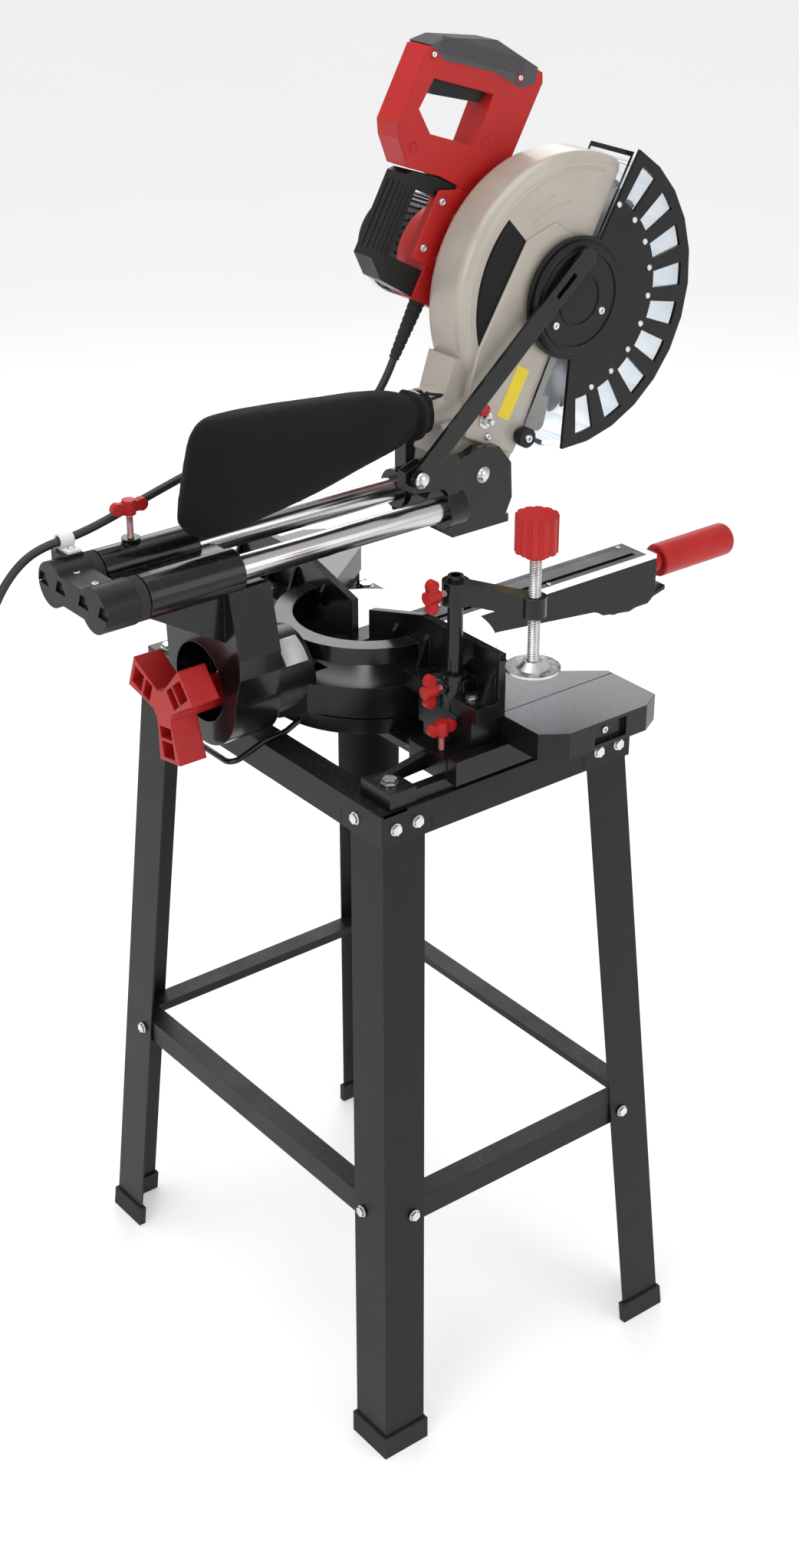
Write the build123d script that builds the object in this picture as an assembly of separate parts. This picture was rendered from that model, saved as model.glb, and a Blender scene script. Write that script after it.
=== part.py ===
from build123d import *
import math
import os

os.makedirs("parts", exist_ok=True)

# ---------------------------------------------------------------------------
# Sliding mitre saw on a splayed-leg workshop stand.  Millimetres, +Z up.
# X runs across the saw (left of the operator is -X), the operator stands at -Y
# and the slide rails run along Y.  Everything is laid out about the middle of
# the stand, then moved along Y by SHIFT_Y and along X by SHIFT_X so that the
# origin is the centre of the base of the whole saw's box.
# ---------------------------------------------------------------------------

# stand
STAND_H = 730.0            # top face of the steel frame
TOP_X = 211.0              # half width of the frame top
TOP_Y = 156.0              # half depth of the frame top
FLOOR_X = 265.0            # half width at the floor
FLOOR_Y = 195.0            # half depth at the floor
LEG_FLANGE = 50.0
SHEET = 2.0                # thickness of the stand's sheet steel
APRON_H = 34.0
APRON_FLANGE = 30.0
BRACE_Z = 281.0            # height of the lower brace bolts
BRACE_H = 27.0
BRACE_FLANGE = 23.0
FOOT_H = 24.0
LEG_CLEAR = 5.2            # the leg stands this far inside the apron at the top

# saw table
TABLE_Z = 792.0
BASE_Z = STAND_H + 0.2
TABLE_T = 27.0
MITRE_X = 0.0              # centre of the turntable
MITRE_Y = 11.0
TURN_R = 130.0
TURN_T = 32.0
ARM_X0 = -24.0              # sides of the mitre arm
ARM_X1 = 36.0
REAR_R = 110.0              # the turntable is narrower behind the fence
SKIRT_R = 108.0             # ring of the base under it
ARM_END_Y = -374.0
HANDLE_X = 4.0
HANDLE_Z = 773.0
HANDLE_END_Y = -500.0
FENCE_Y = 12.0             # working face of the fence
FENCE_T = 8.0
FENCE_H = 65.0
FENCE_END = 214.0
FENCE_FOOT = 16.0
SEAT_DROP = 0.4            # the fence's seat lies this far below the table face
ARCH_R0 = 75.0              # arch that joins the fence halves behind the blade
ARCH_R1 = 94.0
FENCE_BOLTS = (138.0, 190.0)
FENCE_BOLT_Y = 33.0
WING_LOCK_X = 184.0
WING_IN = 207.0
WING_OUT = 279.0
WING_FRONT = -132.0
LUG_X = 188.0
LUG_Y = 129.0
ROD_R = 6.0
WING_RODS = ((-40.0, 778.0), (64.0, 750.0))
FIT = 0.05                 # radial gap of a running fit

# bevel and slide
BEVEL_X = 0.0
BEVEL_Z = 792.0
KNOB_LOBES = (20.0, 140.0, 260.0)
KNOB_REACH = 56.0
RAIL_X = 37.0
RAIL_Z = 929.0
RAIL_R = 12.5
RAIL_FRONT = -62.0
RAIL_REAR = 340.0
TUBE_R = 21.0
TUBE_FRONT = 193.0
TUBE_REAR = 295.0

# head, laid out level about its pivot: forward is -Y, then tipped up
PIVOT_Y = -98.0
PIVOT_Z = 957.0
HEAD_UP = 60.7
HUB_S = 193.0              # blade centre forward of the pivot
HUB_H = -29.3              # and above it
BLADE_R = 127.5
BLADE_T = 2.4
GUARD_R = 139.0
GUARD_X0 = -30.0
GUARD_X1 = 22.0
LOWER_R = 150.0
MOTOR_S = 183.0
MOTOR_H = 45.0
MOTOR_R = 50.0
SHELL_X0 = 30.0
SHELL_X1 = 62.0
SPINDLE_GEAR_R = 32.0
PINION_R = 10.0
NEAR_BOSS_R = 27.7          # the lower guard turns on these two bosses
FAR_BOSS_R = 23.7
BOSS_GAP = 0.3
HUB_COVER_R = 57.0
LINK_Y = -13.0
LINK_Z = 974.0
LINK_L = 270.0
LINK_ANGLE = 139.2         # from +Y towards +Z, at rest
PIN_R = 39.3               # link pin from the blade centre
PIN_ANGLE = 149.7
PORT_R = 22.0
LOCK_S = 58.0              # spindle lock button
LOCK_H = 22.0

BAG_X0 = -46.0
BAG_X1 = 15.0

# clamp
POST_X = -168.0
POST_Y = 36.0
POST_R = 7.5
CLAMP_X = -240.0
CLAMP_Y = 2.0
CLAMP_ARM_Z = 912.0
PAD_Z = 849.0
PAD_R = 26.0

# cord
CORD_D = 8.0
CLIP_AT = (52.0, 318.0, 962.0)

SHIFT_X = 0.0
SHIFT_Y = 78.0

NODES = {}


# ------------------------------------------------------------------ helpers
def block(x0, x1, y0, y1, z0, z1):
    """Box between two corners."""
    solid = Box(x1 - x0, y1 - y0, z1 - z0)
    return Pos((x0 + x1) / 2, (y0 + y1) / 2, (z0 + z1) / 2) * solid


def rod(p, q, r):
    """Round bar of radius r from point p to point q."""
    p = Vector(*p)
    q = Vector(*q)
    plane = Plane(origin=(p + q) / 2, z_dir=(q - p).normalized())
    return plane * Cylinder(r, (q - p).length)


def rod_x(x0, x1, y, z, r):
    return rod((x0, y, z), (x1, y, z), r)


def rod_y(x, y0, y1, z, r):
    return rod((x, y0, z), (x, y1, z), r)


def rod_z(x, y, z0, z1, r):
    return rod((x, y, z0), (x, y, z1), r)


def slab(points, direction, length):
    """Prism on a flat outline given by 3-D points."""
    face = make_face(Polyline(*points, close=True))
    return extrude(face, amount=length, dir=direction)


def slab_x(outline, x0, x1):
    """Prism along X on a (y, z) outline."""
    return slab([(x0, y, z) for y, z in outline], (1, 0, 0), x1 - x0)


def slab_y(outline, y0, y1):
    """Prism along Y on an (x, z) outline."""
    return slab([(x, y0, z) for x, z in outline], (0, 1, 0), y1 - y0)


def slab_z(outline, z0, z1):
    """Prism along Z on an (x, y) outline."""
    return slab([(x, y, z0) for x, y in outline], (0, 0, 1), z1 - z0)


def hexagon(p, q, across):
    """Hexagonal bar from p to q."""
    p = Vector(*p)
    q = Vector(*q)
    plane = Plane(origin=p, z_dir=(q - p).normalized())
    return extrude(plane * RegularPolygon(across / 2, 6, major_radius=False), (q - p).length)


def flange_bolt(head, tip, size):
    """Hexagon bolt with a flange, head outwards, and a nut on its tip."""
    head = Vector(*head)
    tip = Vector(*tip)
    along = (tip - head).normalized()
    top = head - along * (0.65 * size)
    seat = head - along * (0.2 * size)
    nut = tip - along * (0.8 * size)
    body = rod(head, tip, size / 2)
    body += rod(seat, head, size * 1.05)
    body += hexagon(top, seat, size * 1.6)
    return body + hexagon(nut, tip, size * 1.6)


def node(name, *solids):
    """Keep the solids of one node under its name."""
    kept = []
    for shape in solids:
        kept.extend(shape.solids())
    NODES[name] = kept


def mirror_x(shape):
    return mirror(shape, about=Plane.YZ)


# -------------------------------------------------------------------- stand
def leg_corner(z):
    """Outer corner of the +X +Y leg at height z."""
    t = 1.0 - z / STAND_H
    x = TOP_X - LEG_CLEAR + (FLOOR_X - TOP_X + LEG_CLEAR) * t
    y = TOP_Y - LEG_CLEAR + (FLOOR_Y - TOP_Y + LEG_CLEAR) * t
    return x, y


def angle_leg(z0, z1, flange, sheet, grow=0.0):
    """Angle-section leg in the +X +Y corner, leaning with the splay."""
    x1, y1 = leg_corner(z1)
    x0, y0 = leg_corner(z0)
    x1 += grow
    y1 += grow
    inner = sheet + 2 * grow
    outline = [
        (x1, y1),
        (x1 - flange, y1),
        (x1 - flange, y1 - inner),
        (x1 - inner, y1 - inner),
        (x1 - inner, y1 - flange),
        (x1, y1 - flange),
    ]
    lean = Vector(x0 - x1 + grow, y0 - y1 + grow, z0 - z1)
    face = make_face(Polyline(*[(x, y, z1) for x, y in outline], close=True))
    return extrude(face, amount=lean.length, dir=lean.normalized())


def four(shape):
    """The shape in all four corners."""
    right = [shape, mirror(shape, about=Plane.XZ)]
    return right + [mirror_x(s) for s in right]


def stand_bolt_lines():
    """Every M6 bolt of the stand in the +X +Y corner: head point and tip point."""
    lines = []
    z = STAND_H - 17.0
    for inset in (16.0, 42.0):
        lines.append(((TOP_X, TOP_Y - inset, z), (TOP_X - 14.0, TOP_Y - inset, z)))
    lines.append(((TOP_X - 40.0, TOP_Y, z), (TOP_X - 40.0, TOP_Y - 14.0, z)))
    x, y = leg_corner(BRACE_Z)
    lines.append(((x + 1.0, y - 36.0, BRACE_Z), (x - 14.0, y - 36.0, BRACE_Z)))
    lines.append(((x - 36.0, y + 1.0, BRACE_Z), (x - 36.0, y - 14.0, BRACE_Z)))
    return lines


def make_stand():
    bolt_holes = [rod(a, b, 3.1) for a, b in stand_bolt_lines()]
    holes = []
    for hole in bolt_holes:
        holes.extend(four(hole))
    cut = Compound(children=holes)

    leg = angle_leg(5.0, STAND_H - SHEET - 0.2, LEG_FLANGE, SHEET)
    node("stand_legs", *[s - cut for s in four(leg)])

    top = STAND_H
    web = [(TOP_Y - SHEET, top - APRON_H), (TOP_Y, top - APRON_H), (TOP_Y, top)]
    web += [(TOP_Y - APRON_FLANGE, top), (TOP_Y - APRON_FLANGE, top - SHEET), (TOP_Y - SHEET, top - SHEET)]
    long_rail = slab_x(web, -TOP_X, TOP_X)
    side = [(TOP_X - SHEET, top - APRON_H), (TOP_X, top - APRON_H), (TOP_X, top)]
    side += [(TOP_X - APRON_FLANGE, top), (TOP_X - APRON_FLANGE, top - SHEET), (TOP_X - SHEET, top - SHEET)]
    half = TOP_Y - SHEET - 0.1
    side_rail = slab_y(side, -half, half)
    for end in (-1, 1):
        y0 = min(end * (TOP_Y - APRON_FLANGE - 0.1), end * TOP_Y)
        y1 = max(end * (TOP_Y - APRON_FLANGE - 0.1), end * TOP_Y)
        side_rail -= block(0, TOP_X - SHEET, y0, y1, top - SHEET - 0.1, top + 1)
    mount_holes = [rod_z(sx * LUG_X, sy * LUG_Y, top - 10, top + 10, 4.3) for sx in (-1, 1) for sy in (-1, 1)]
    cut_top = cut + Compound(children=mount_holes)
    rails = [long_rail, mirror(long_rail, about=Plane.XZ), side_rail, mirror_x(side_rail)]
    node("stand_top_rails", *[r - cut_top for r in rails])

    z1 = BRACE_Z + BRACE_H / 2
    z0 = BRACE_Z - BRACE_H / 2
    x, y = leg_corner(z1)
    x -= SHEET + 0.2
    y -= SHEET + 0.2
    lip = 8.0
    long_face = [(y - SHEET, z0), (y, z0), (y, z1), (y - BRACE_FLANGE, z1), (y - BRACE_FLANGE, z1 - lip)]
    long_face += [(y - BRACE_FLANGE + SHEET, z1 - lip), (y - BRACE_FLANGE + SHEET, z1 - SHEET), (y - SHEET, z1 - SHEET)]
    long_brace = slab_x(long_face, -x, x)
    drop = SHEET + 0.3
    side_face = [(x - SHEET, z0), (x, z0), (x, z1), (x - BRACE_FLANGE, z1), (x - BRACE_FLANGE, z1 - lip)]
    side_face += [(x - BRACE_FLANGE + SHEET, z1 - lip), (x - BRACE_FLANGE + SHEET, z1 - SHEET), (x - SHEET, z1 - SHEET)]
    reach = y - drop
    side_brace = slab_y(side_face, -reach, reach)
    for end in (-1, 1):
        e0 = min(end * (y - BRACE_FLANGE - 0.3), end * y)
        e1 = max(end * (y - BRACE_FLANGE - 0.3), end * y)
        side_brace -= block(0, x - SHEET, e0, e1, z0 - 1, z1 + 1)
    side_brace -= block(x - SHEET - 0.1, x + 1, reach - 0.1, reach + 1, z0 - 1, z1 + 1)
    long_brace -= block(x - SHEET - 0.3, x + 1, -y - 1, y - drop, z0 - 1, z1 + 1)
    long_brace -= block(-x - 1, -x + SHEET + 0.3, -y - 1, y - drop, z0 - 1, z1 + 1)
    braces = [long_brace, mirror(long_brace, about=Plane.XZ), side_brace, mirror_x(side_brace)]
    node("stand_braces", *[b - cut for b in braces])

    boot = angle_leg(0.0, FOOT_H, LEG_FLANGE + 6.0, SHEET, grow=3.0)
    pocket = angle_leg(4.9, FOOT_H + 10, LEG_FLANGE + 0.2, SHEET + 0.2, grow=0.1)
    foot = boot - pocket
    node("stand_feet", *four(foot))


def make_bolts():
    bolts = []
    for head, tip in stand_bolt_lines():
        bolts.extend(four(flange_bolt(head, tip, 6.0)))
    lug_bolt = flange_bolt((LUG_X, LUG_Y, 748.4), (LUG_X, LUG_Y, STAND_H - 14.0), 8.0)
    bolts.extend(four(lug_bolt))
    top = TABLE_Z + 0.3 + FENCE_FOOT
    for x in FENCE_BOLTS:
        for side in (-1, 1):
            bolts.append(flange_bolt((side * x, FENCE_BOLT_Y, top + 0.1), (side * x, FENCE_BOLT_Y, 759), 6.0))
    node("frame_bolts", *bolts)


# --------------------------------------------------------------------- base
def table_outline(y_back):
    """Left fixed table, seen from above, with its slanted inner front edge."""
    edge = WING_IN - 0.8
    return [(-edge, y_back), (-edge, WING_FRONT), (-200.0, WING_FRONT), (-110.0, -12.0), (-110.0, y_back)]


def make_base():
    under = TABLE_Z - TURN_T - 3
    table_back = 46.0
    skirt = rod_z(MITRE_X, MITRE_Y, BASE_Z + 11, under, SKIRT_R)
    skirt -= rod_z(MITRE_X, MITRE_Y, BASE_Z + 10, TABLE_Z, SKIRT_R - 12)
    hub = rod_z(MITRE_X, MITRE_Y, BASE_Z + 4, under, 24)
    spokes = block(-SKIRT_R + 6, SKIRT_R - 6, MITRE_Y - 5, MITRE_Y + 5, BASE_Z + 8, under - 1)
    spokes += block(-5, 5, MITRE_Y - SKIRT_R + 6, MITRE_Y + SKIRT_R - 6, BASE_Z + 8, under - 1)
    base = skirt + hub + spokes
    edge = WING_IN - 0.8
    front_wall = [(-184, -108), (-130, -36), (-123, -40), (-177, -108)]
    rod_y0, rod_z0 = WING_RODS[1]
    for side in (1, -1):
        half = slab_z(table_outline(table_back), TABLE_Z - TABLE_T, TABLE_Z)
        half += block(-edge, -60, -60, 60, BASE_Z + 4, BASE_Z + 12)
        half += block(-edge, -edge + 8, -128, table_back, BASE_Z, TABLE_Z - TABLE_T + 1)
        half += block(-edge, -134, 40, table_back, BASE_Z + 4, TABLE_Z - TABLE_T + 1)
        half += slab_z(front_wall, BASE_Z + 4, TABLE_Z - TABLE_T + 1)
        half += block(-WING_IN, -162, -143, 143, BASE_Z, 748) - block(-WING_IN - 1, -161, -112, 112, BASE_Z - 1, 749)
        half += block(-edge, -edge + 11, -140, 140, BASE_Z, 744)
        half += block(-edge, -150, table_back - 2, rod_y0 + 12, rod_z0 - 12, rod_z0 + 12)
        gusset = [(table_back, 744), (table_back, 764), (138, 747.5), (138, 740)]
        half += slab_x(gusset, -178, -170)
        base += half if side == 1 else mirror_x(half)
    base -= rod_z(MITRE_X, MITRE_Y, under, TABLE_Z + 1, TURN_R + 1.2)
    base -= rod_z(MITRE_X, MITRE_Y, BASE_Z, TABLE_Z, 10 + FIT)
    base -= block(-WING_IN, WING_IN, FENCE_Y - 0.5, 80, TABLE_Z - SEAT_DROP, TABLE_Z + 1)
    for side in (-1, 1):
        for y, z in WING_RODS:
            base -= rod_x(side * 120, side * (WING_IN + 5), y, z, ROD_R + FIT)
        for sy in (-1, 1):
            base -= rod_z(side * LUG_X, sy * LUG_Y, BASE_Z - 1, 760, 4.3)
        for x in FENCE_BOLTS:
            base -= rod_z(side * x, FENCE_BOLT_Y, 760, TABLE_Z + 1, 3.1)
        base -= rod_z(side * WING_LOCK_X, rod_y0, rod_z0, 770, 3.1)
    node("base_casting", base)


def make_fence():
    outline = [(-FENCE_END, 0), (-FENCE_END, FENCE_H), (-98, FENCE_H), (-14, FENCE_H - 24), (-14, 0)]
    plate = slab_y(outline, FENCE_Y, FENCE_Y + FENCE_T)
    foot = block(-FENCE_END, -100, FENCE_Y, 46, 0, FENCE_FOOT)
    half = plate + foot + rod_z(POST_X, POST_Y, 0, 36, 13)
    half += rod_y(POST_X, POST_Y, POST_Y + 16, 24, 7)
    half += slab_y([(-182, 0), (-182, 30), (-152, 30), (-152, 0)], FENCE_Y, POST_Y)
    for x in (-206, -148, -108, -60):
        rib = [(FENCE_Y + 4, 0), (FENCE_Y + 4, 52), (FENCE_Y + 12, 44), (34, 16), (34, 0)]
        if x == -60:
            rib = [(FENCE_Y + 4, 20), (FENCE_Y + 4, 48), (FENCE_Y + 13, 36), (FENCE_Y + 13, 20)]
        half += slab_x(rib, x - 2, x + 2)
    fence = half + mirror_x(half)
    arch = rod_z(MITRE_X, MITRE_Y, 17, 34, ARCH_R1) - rod_z(MITRE_X, MITRE_Y, 16, 35, ARCH_R0)
    fence += arch & block(-120, 120, FENCE_Y + 2, 130, 16, 35)
    fence = Pos(0, 0, TABLE_Z + 0.3) * fence
    fence -= rod_z(POST_X, POST_Y, TABLE_Z + 5, TABLE_Z + 40, POST_R + FIT)
    fence -= rod_y(POST_X, POST_Y, 60, TABLE_Z + 24.3, 3.1)
    seat = TURN_R + 6
    for x0, x1 in ((-WING_IN, -seat), (seat, WING_IN)):
        fence += block(x0, x1, FENCE_Y, 43, TABLE_Z - SEAT_DROP, TABLE_Z + 0.4)
    for side in (-1, 1):
        for x in FENCE_BOLTS:
            fence -= rod_z(side * x, FENCE_BOLT_Y, TABLE_Z - 2, TABLE_Z + 40, 3.1)
    fence -= block(-14, 14, 0, 40, TABLE_Z, TABLE_Z + FENCE_H + 1)
    node("fence", fence)


def make_wings():
    """Sliding table ends, each on two steel rods."""
    for side, name in ((-1, "left"), (1, "right")):
        x0 = side * WING_IN
        x1 = side * WING_OUT
        outline = [
            (x0, FENCE_Y), (x1 - side * 17, FENCE_Y), (x1, -12), (x1, WING_FRONT + 22),
            (x1 - side * 12, WING_FRONT), (x0, WING_FRONT),
        ]
        wing = slab_z(outline, TABLE_Z - TABLE_T, TABLE_Z)
        wing -= across(side, WING_IN + 14, WING_OUT - 6, -112, -14, TABLE_Z - TABLE_T - 1, TABLE_Z - 22)
        wing -= across(side, WING_OUT - 5, WING_OUT + 1, -84, -44, TABLE_Z - 23, TABLE_Z - 3)
        wing += across(side, WING_IN + 1, WING_IN + 14, -20, 76, 741, TABLE_Z - TABLE_T + 1)
        rods = []
        for y, z in WING_RODS:
            end = WING_IN + 13
            wing -= rod_x(side * (WING_IN - 1), side * end, y, z, ROD_R + 0.02)
            rods.append(rod_x(side * 137, side * (end - 0.2), y, z, ROD_R))
        node("wing_" + name, wing, *rods)
        y, z = WING_RODS[1]
        screw = rod_z(side * WING_LOCK_X, y, z + ROD_R + 0.3, z + 30, 3)
        lock = screw + thumb_wings((side * WING_LOCK_X, y, z + 34), (0, 0, 1), (0, 1, 0), 16)
        node("wing_lock_" + name, lock)


def across(side, x0, x1, y0, y1, z0, z1):
    """Box on one side of the saw, with x measured outwards."""
    return block(min(side * x0, side * x1), max(side * x0, side * x1), y0, y1, z0, z1)


def thumb_wings(centre, axis, span, half):
    """Two-winged thumb head around a point; span is the direction of the wings."""
    plane = Plane(origin=centre, x_dir=span, z_dir=axis)
    hub = Cylinder(6.5, 14)
    wings = Box(2 * half - 10, 7, 10)
    for end in (-1, 1):
        wings += Pos(end * (half - 6), 0, 0) * Rot(90, 0, 0) * Cylinder(6, 7)
    return plane * (hub + wings)


# -------------------------------------------------------------------- clamp
def make_clamp():
    post = rod_z(POST_X, POST_Y, TABLE_Z + 5.2, CLAMP_ARM_Z + 15, POST_R)
    node("clamp_post", post)
    z0 = CLAMP_ARM_Z - 10
    z1 = CLAMP_ARM_Z + 10
    dx = CLAMP_X - POST_X
    dy = CLAMP_Y - POST_Y
    reach = math.hypot(dx, dy)
    nx = -dy / reach * 7.5
    ny = dx / reach * 7.5
    bar = slab_z(
        [(POST_X + nx, POST_Y + ny), (CLAMP_X + nx, CLAMP_Y + ny), (CLAMP_X - nx, CLAMP_Y - ny), (POST_X - nx, POST_Y - ny)],
        z0, z1,
    )
    arm = bar + rod_z(POST_X, POST_Y, z0 - 3, z1, 13) + rod_z(CLAMP_X, CLAMP_Y, z0, z1, 11)
    arm -= rod_z(POST_X, POST_Y, z0 - 5, z1 + 2, POST_R + FIT)
    arm -= rod_z(CLAMP_X, CLAMP_Y, z0 - 2, z1 + 2, 6 + FIT)
    arm -= rod_y(POST_X, POST_Y, POST_Y + 20, CLAMP_ARM_Z, 3.1)
    node("clamp_arm", arm)
    screw = rod_z(CLAMP_X, CLAMP_Y, PAD_Z + 5.3, 975, 6)
    node("clamp_screw", screw)
    knob = rod_z(CLAMP_X, CLAMP_Y, 966, 1001, 20) + rod_z(CLAMP_X, CLAMP_Y, 960, 966, 10)
    for i in range(12):
        turn = math.radians(30 * i)
        knob -= rod_z(CLAMP_X + 21 * math.cos(turn), CLAMP_Y + 21 * math.sin(turn), 960, 1010, 2.6)
    knob -= rod_z(CLAMP_X, CLAMP_Y, 950, 975.1, 6.02)
    node("clamp_knob", knob)
    dish = Plane(origin=(CLAMP_X, CLAMP_Y, PAD_Z)) * Cone(PAD_R - 8, 9, 9, align=(Align.CENTER, Align.CENTER, Align.MIN))
    rim = rod_z(CLAMP_X, CLAMP_Y, PAD_Z, PAD_Z + 2.2, PAD_R)
    pad = dish + rim
    pad -= rod_z(CLAMP_X, CLAMP_Y, PAD_Z + 5, PAD_Z + 20, 6 + FIT)
    node("clamp_pad", pad)
    arm_lock = rod_y(POST_X, POST_Y + 8, POST_Y + 22, CLAMP_ARM_Z, 3)
    arm_lock += thumb_wings((POST_X, POST_Y + 28, CLAMP_ARM_Z), (0, 1, 0), (0, 0, 1), 17)
    node("clamp_arm_lock", arm_lock)
    post_lock = rod_y(POST_X, POST_Y + 8, POST_Y + 24, TABLE_Z + 24.3, 3)
    post_lock += thumb_wings((POST_X, POST_Y + 30, TABLE_Z + 24.3), (0, 1, 0), (0, 0, 1), 17)
    node("clamp_post_lock", post_lock)


# ---------------------------------------------------------------- turntable
def make_turntable():
    top = TABLE_Z
    low = TABLE_Z - TURN_T
    front = rod_z(MITRE_X, MITRE_Y, low, top, TURN_R) & block(-150, 150, -150, FENCE_Y, low, top)
    table = front + rod_z(MITRE_X, MITRE_Y, low, top, REAR_R)
    neck = [(-70, 94), (-43, 118), (-34, 146), (34, 146), (43, 118), (70, 94)]
    table += slab_z(neck, low, top)
    table -= rod_z(MITRE_X, MITRE_Y, low - 1, top - 14, REAR_R - 7)
    table += rod_z(MITRE_X, MITRE_Y, low, top - 8, 26)
    side = [(-60, top - 14), (-100, low + 7), (-141, low + 7), (-276, 752), (-305, 741), (-356, 741)]
    side += [(ARM_END_Y, 756), (ARM_END_Y, top), (-60, top)]
    arm = slab_x(side, ARM_X0, ARM_X1)
    hollow = [(-132, low - 20), (ARM_END_Y + 7, low - 30), (ARM_END_Y + 7, top - 14), (-132, top - 14)]
    arm -= slab_x(hollow, ARM_X0 + 5, ARM_X1 - 5)
    arm = chamfer(arm.edges().filter_by(Axis.Z).group_by(Axis.Y)[0], 8)
    drum = rod_y(BEVEL_X, 107, 157, BEVEL_Z, 44) & block(-80, 80, 90, 160, low, 860)
    table += arm + drum
    table -= rod_y(BEVEL_X, 60, 160, BEVEL_Z, 6 + FIT)
    table -= rod_y(BEVEL_X, 80, 126, BEVEL_Z, 26)
    table -= block(-10, 30, ARM_END_Y + 10, 40, top - 3.2, top + 1)
    table -= block(-5, 5, ARM_END_Y + 18, 32, top - 12, top + 1)
    table -= rod_z(MITRE_X, MITRE_Y, low - 1, top - 15, 10.02)
    table += rod_y(HANDLE_X, ARM_END_Y + 2, ARM_END_Y - 8, HANDLE_Z, 12)
    table -= rod_y(HANDLE_X, ARM_END_Y - 20, ARM_END_Y + 20, HANDLE_Z, 5 + FIT)
    pin = rod_z(MITRE_X, MITRE_Y, BASE_Z + 5, top - 15.2, 10)
    node("turntable", table, pin)
    insert = block(-9.9, 29.9, ARM_END_Y + 10.1, 39.9, top - 3.1, top + 0.1)
    insert -= block(-3, 3, ARM_END_Y + 20, 30, top - 6, top + 1)
    node("kerf_insert", insert)
    grip_y = ARM_END_Y - 18
    handle = rod_y(HANDLE_X, grip_y, HANDLE_END_Y, HANDLE_Z, 18.5)
    handle = fillet(handle.edges().group_by(Axis.Y)[0], 7)
    handle = fillet(handle.edges().group_by(Axis.Y)[-1], 3)
    handle += rod_y(HANDLE_X, ARM_END_Y - 8.4, grip_y + 1, HANDLE_Z, 12)
    node("mitre_handle", handle + rod_y(HANDLE_X, ARM_END_Y + 16, grip_y, HANDLE_Z, 5))
    outline = [(-306, 740.6), (-306, 734), (-345, 728), (-398, 741), (-398, 746), (-372, 738), (-340, 740.6)]
    node("detent_lever", slab_x(outline, -7, 17))


# ----------------------------------------------------------------- bevel arm
def make_bevel():
    shell_z = BEVEL_Z + 5
    arm = rod_y(BEVEL_X, 157.6, 210, shell_z, 56)
    web = [(-52, shell_z - 8), (-66, 830), (-66, 850), (-52, 915), (52, 915), (60, 850), (56, shell_z - 8)]
    arm += slab_y(web, 163, 210)
    arm += slab_x([(163, 890), (176, RAIL_Z + 3), (TUBE_REAR, RAIL_Z + 3), (TUBE_REAR, 912), (210, 862)], -44, 44)
    for side in (-1, 1):
        arm += rod_y(side * RAIL_X, TUBE_FRONT, TUBE_REAR, RAIL_Z, TUBE_R)
    arm += rod_z(RAIL_X, 257, RAIL_Z + 15, RAIL_Z + 25, 9)
    for side in (-1, 1):
        arm -= rod_y(side * RAIL_X, 150, TUBE_REAR + 1, RAIL_Z, RAIL_R + 3.5)
    arm -= rod_y(BEVEL_X + 4, 172, 211, BEVEL_Z + 12, 40)
    arm -= rod_y(BEVEL_X, 150, 175, BEVEL_Z, 6 + FIT)
    arm -= rod_z(RAIL_X, 257, RAIL_Z + 10, RAIL_Z + 40, 3 + FIT)
    node("bevel_arm", arm)
    bushes = []
    for side in (-1, 1):
        for y in (TUBE_FRONT + 0.5, TUBE_REAR - 30.5):
            bush = rod_y(side * RAIL_X, y, y + 30, RAIL_Z, RAIL_R + 3.48)
            bushes.append(bush - rod_y(side * RAIL_X, y - 1, y + 31, RAIL_Z, RAIL_R + FIT))
    node("rail_bushes", *bushes)
    bolt = rod_y(BEVEL_X, 126.2, 220, BEVEL_Z, 6) + hexagon((BEVEL_X, 118, BEVEL_Z), (BEVEL_X, 125.8, BEVEL_Z), 18)
    bolt += rod_y(BEVEL_X, 120, 130, BEVEL_Z, 6)
    bolt += hexagon((BEVEL_X, 172.3, BEVEL_Z), (BEVEL_X, 180, BEVEL_Z), 18)
    node("bevel_pivot_bolt", bolt)
    node("bevel_lock_knob", lock_knob())
    stem = rod_z(RAIL_X, 257, RAIL_Z + 17, RAIL_Z + 50, 3)
    node("rail_lock_knob", stem + thumb_wings((RAIL_X, 257, RAIL_Z + 55), (0, 0, 1), (0, 1, 0), 19))


def lock_knob():
    """Three-lobed clamping knob, hollowed between its walls, on a plain stem."""
    knob = rod_y(BEVEL_X, 181, 226, BEVEL_Z, 16) + rod_y(BEVEL_X, 225, 256, BEVEL_Z, 17)
    half_wide = 18
    for turn in KNOB_LOBES:
        a = math.radians(turn)
        out = Plane(origin=(BEVEL_X, 241, BEVEL_Z), x_dir=(math.cos(a), 0, math.sin(a)), z_dir=(0, 1, 0))
        lobe = [(0, -11), (30, -14), (KNOB_REACH, -half_wide), (KNOB_REACH, half_wide), (30, 14), (0, 11)]
        knob += extrude(out * make_face(Polyline(*lobe, close=True)), amount=15, both=True)
    for turn in KNOB_LOBES:
        a = math.radians(turn)
        out = Plane(origin=(BEVEL_X, 248, BEVEL_Z), x_dir=(math.cos(a), 0, math.sin(a)), z_dir=(0, 1, 0))
        for near, far in ((20, 32), (35, KNOB_REACH - 4)):
            pocket = Pos((near + far) / 2, 0, 0) * Box(far - near, 20, 20)
            knob -= out * pocket
    return knob - rod_y(BEVEL_X, 170, 220.2, BEVEL_Z, 6 + FIT)


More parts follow.
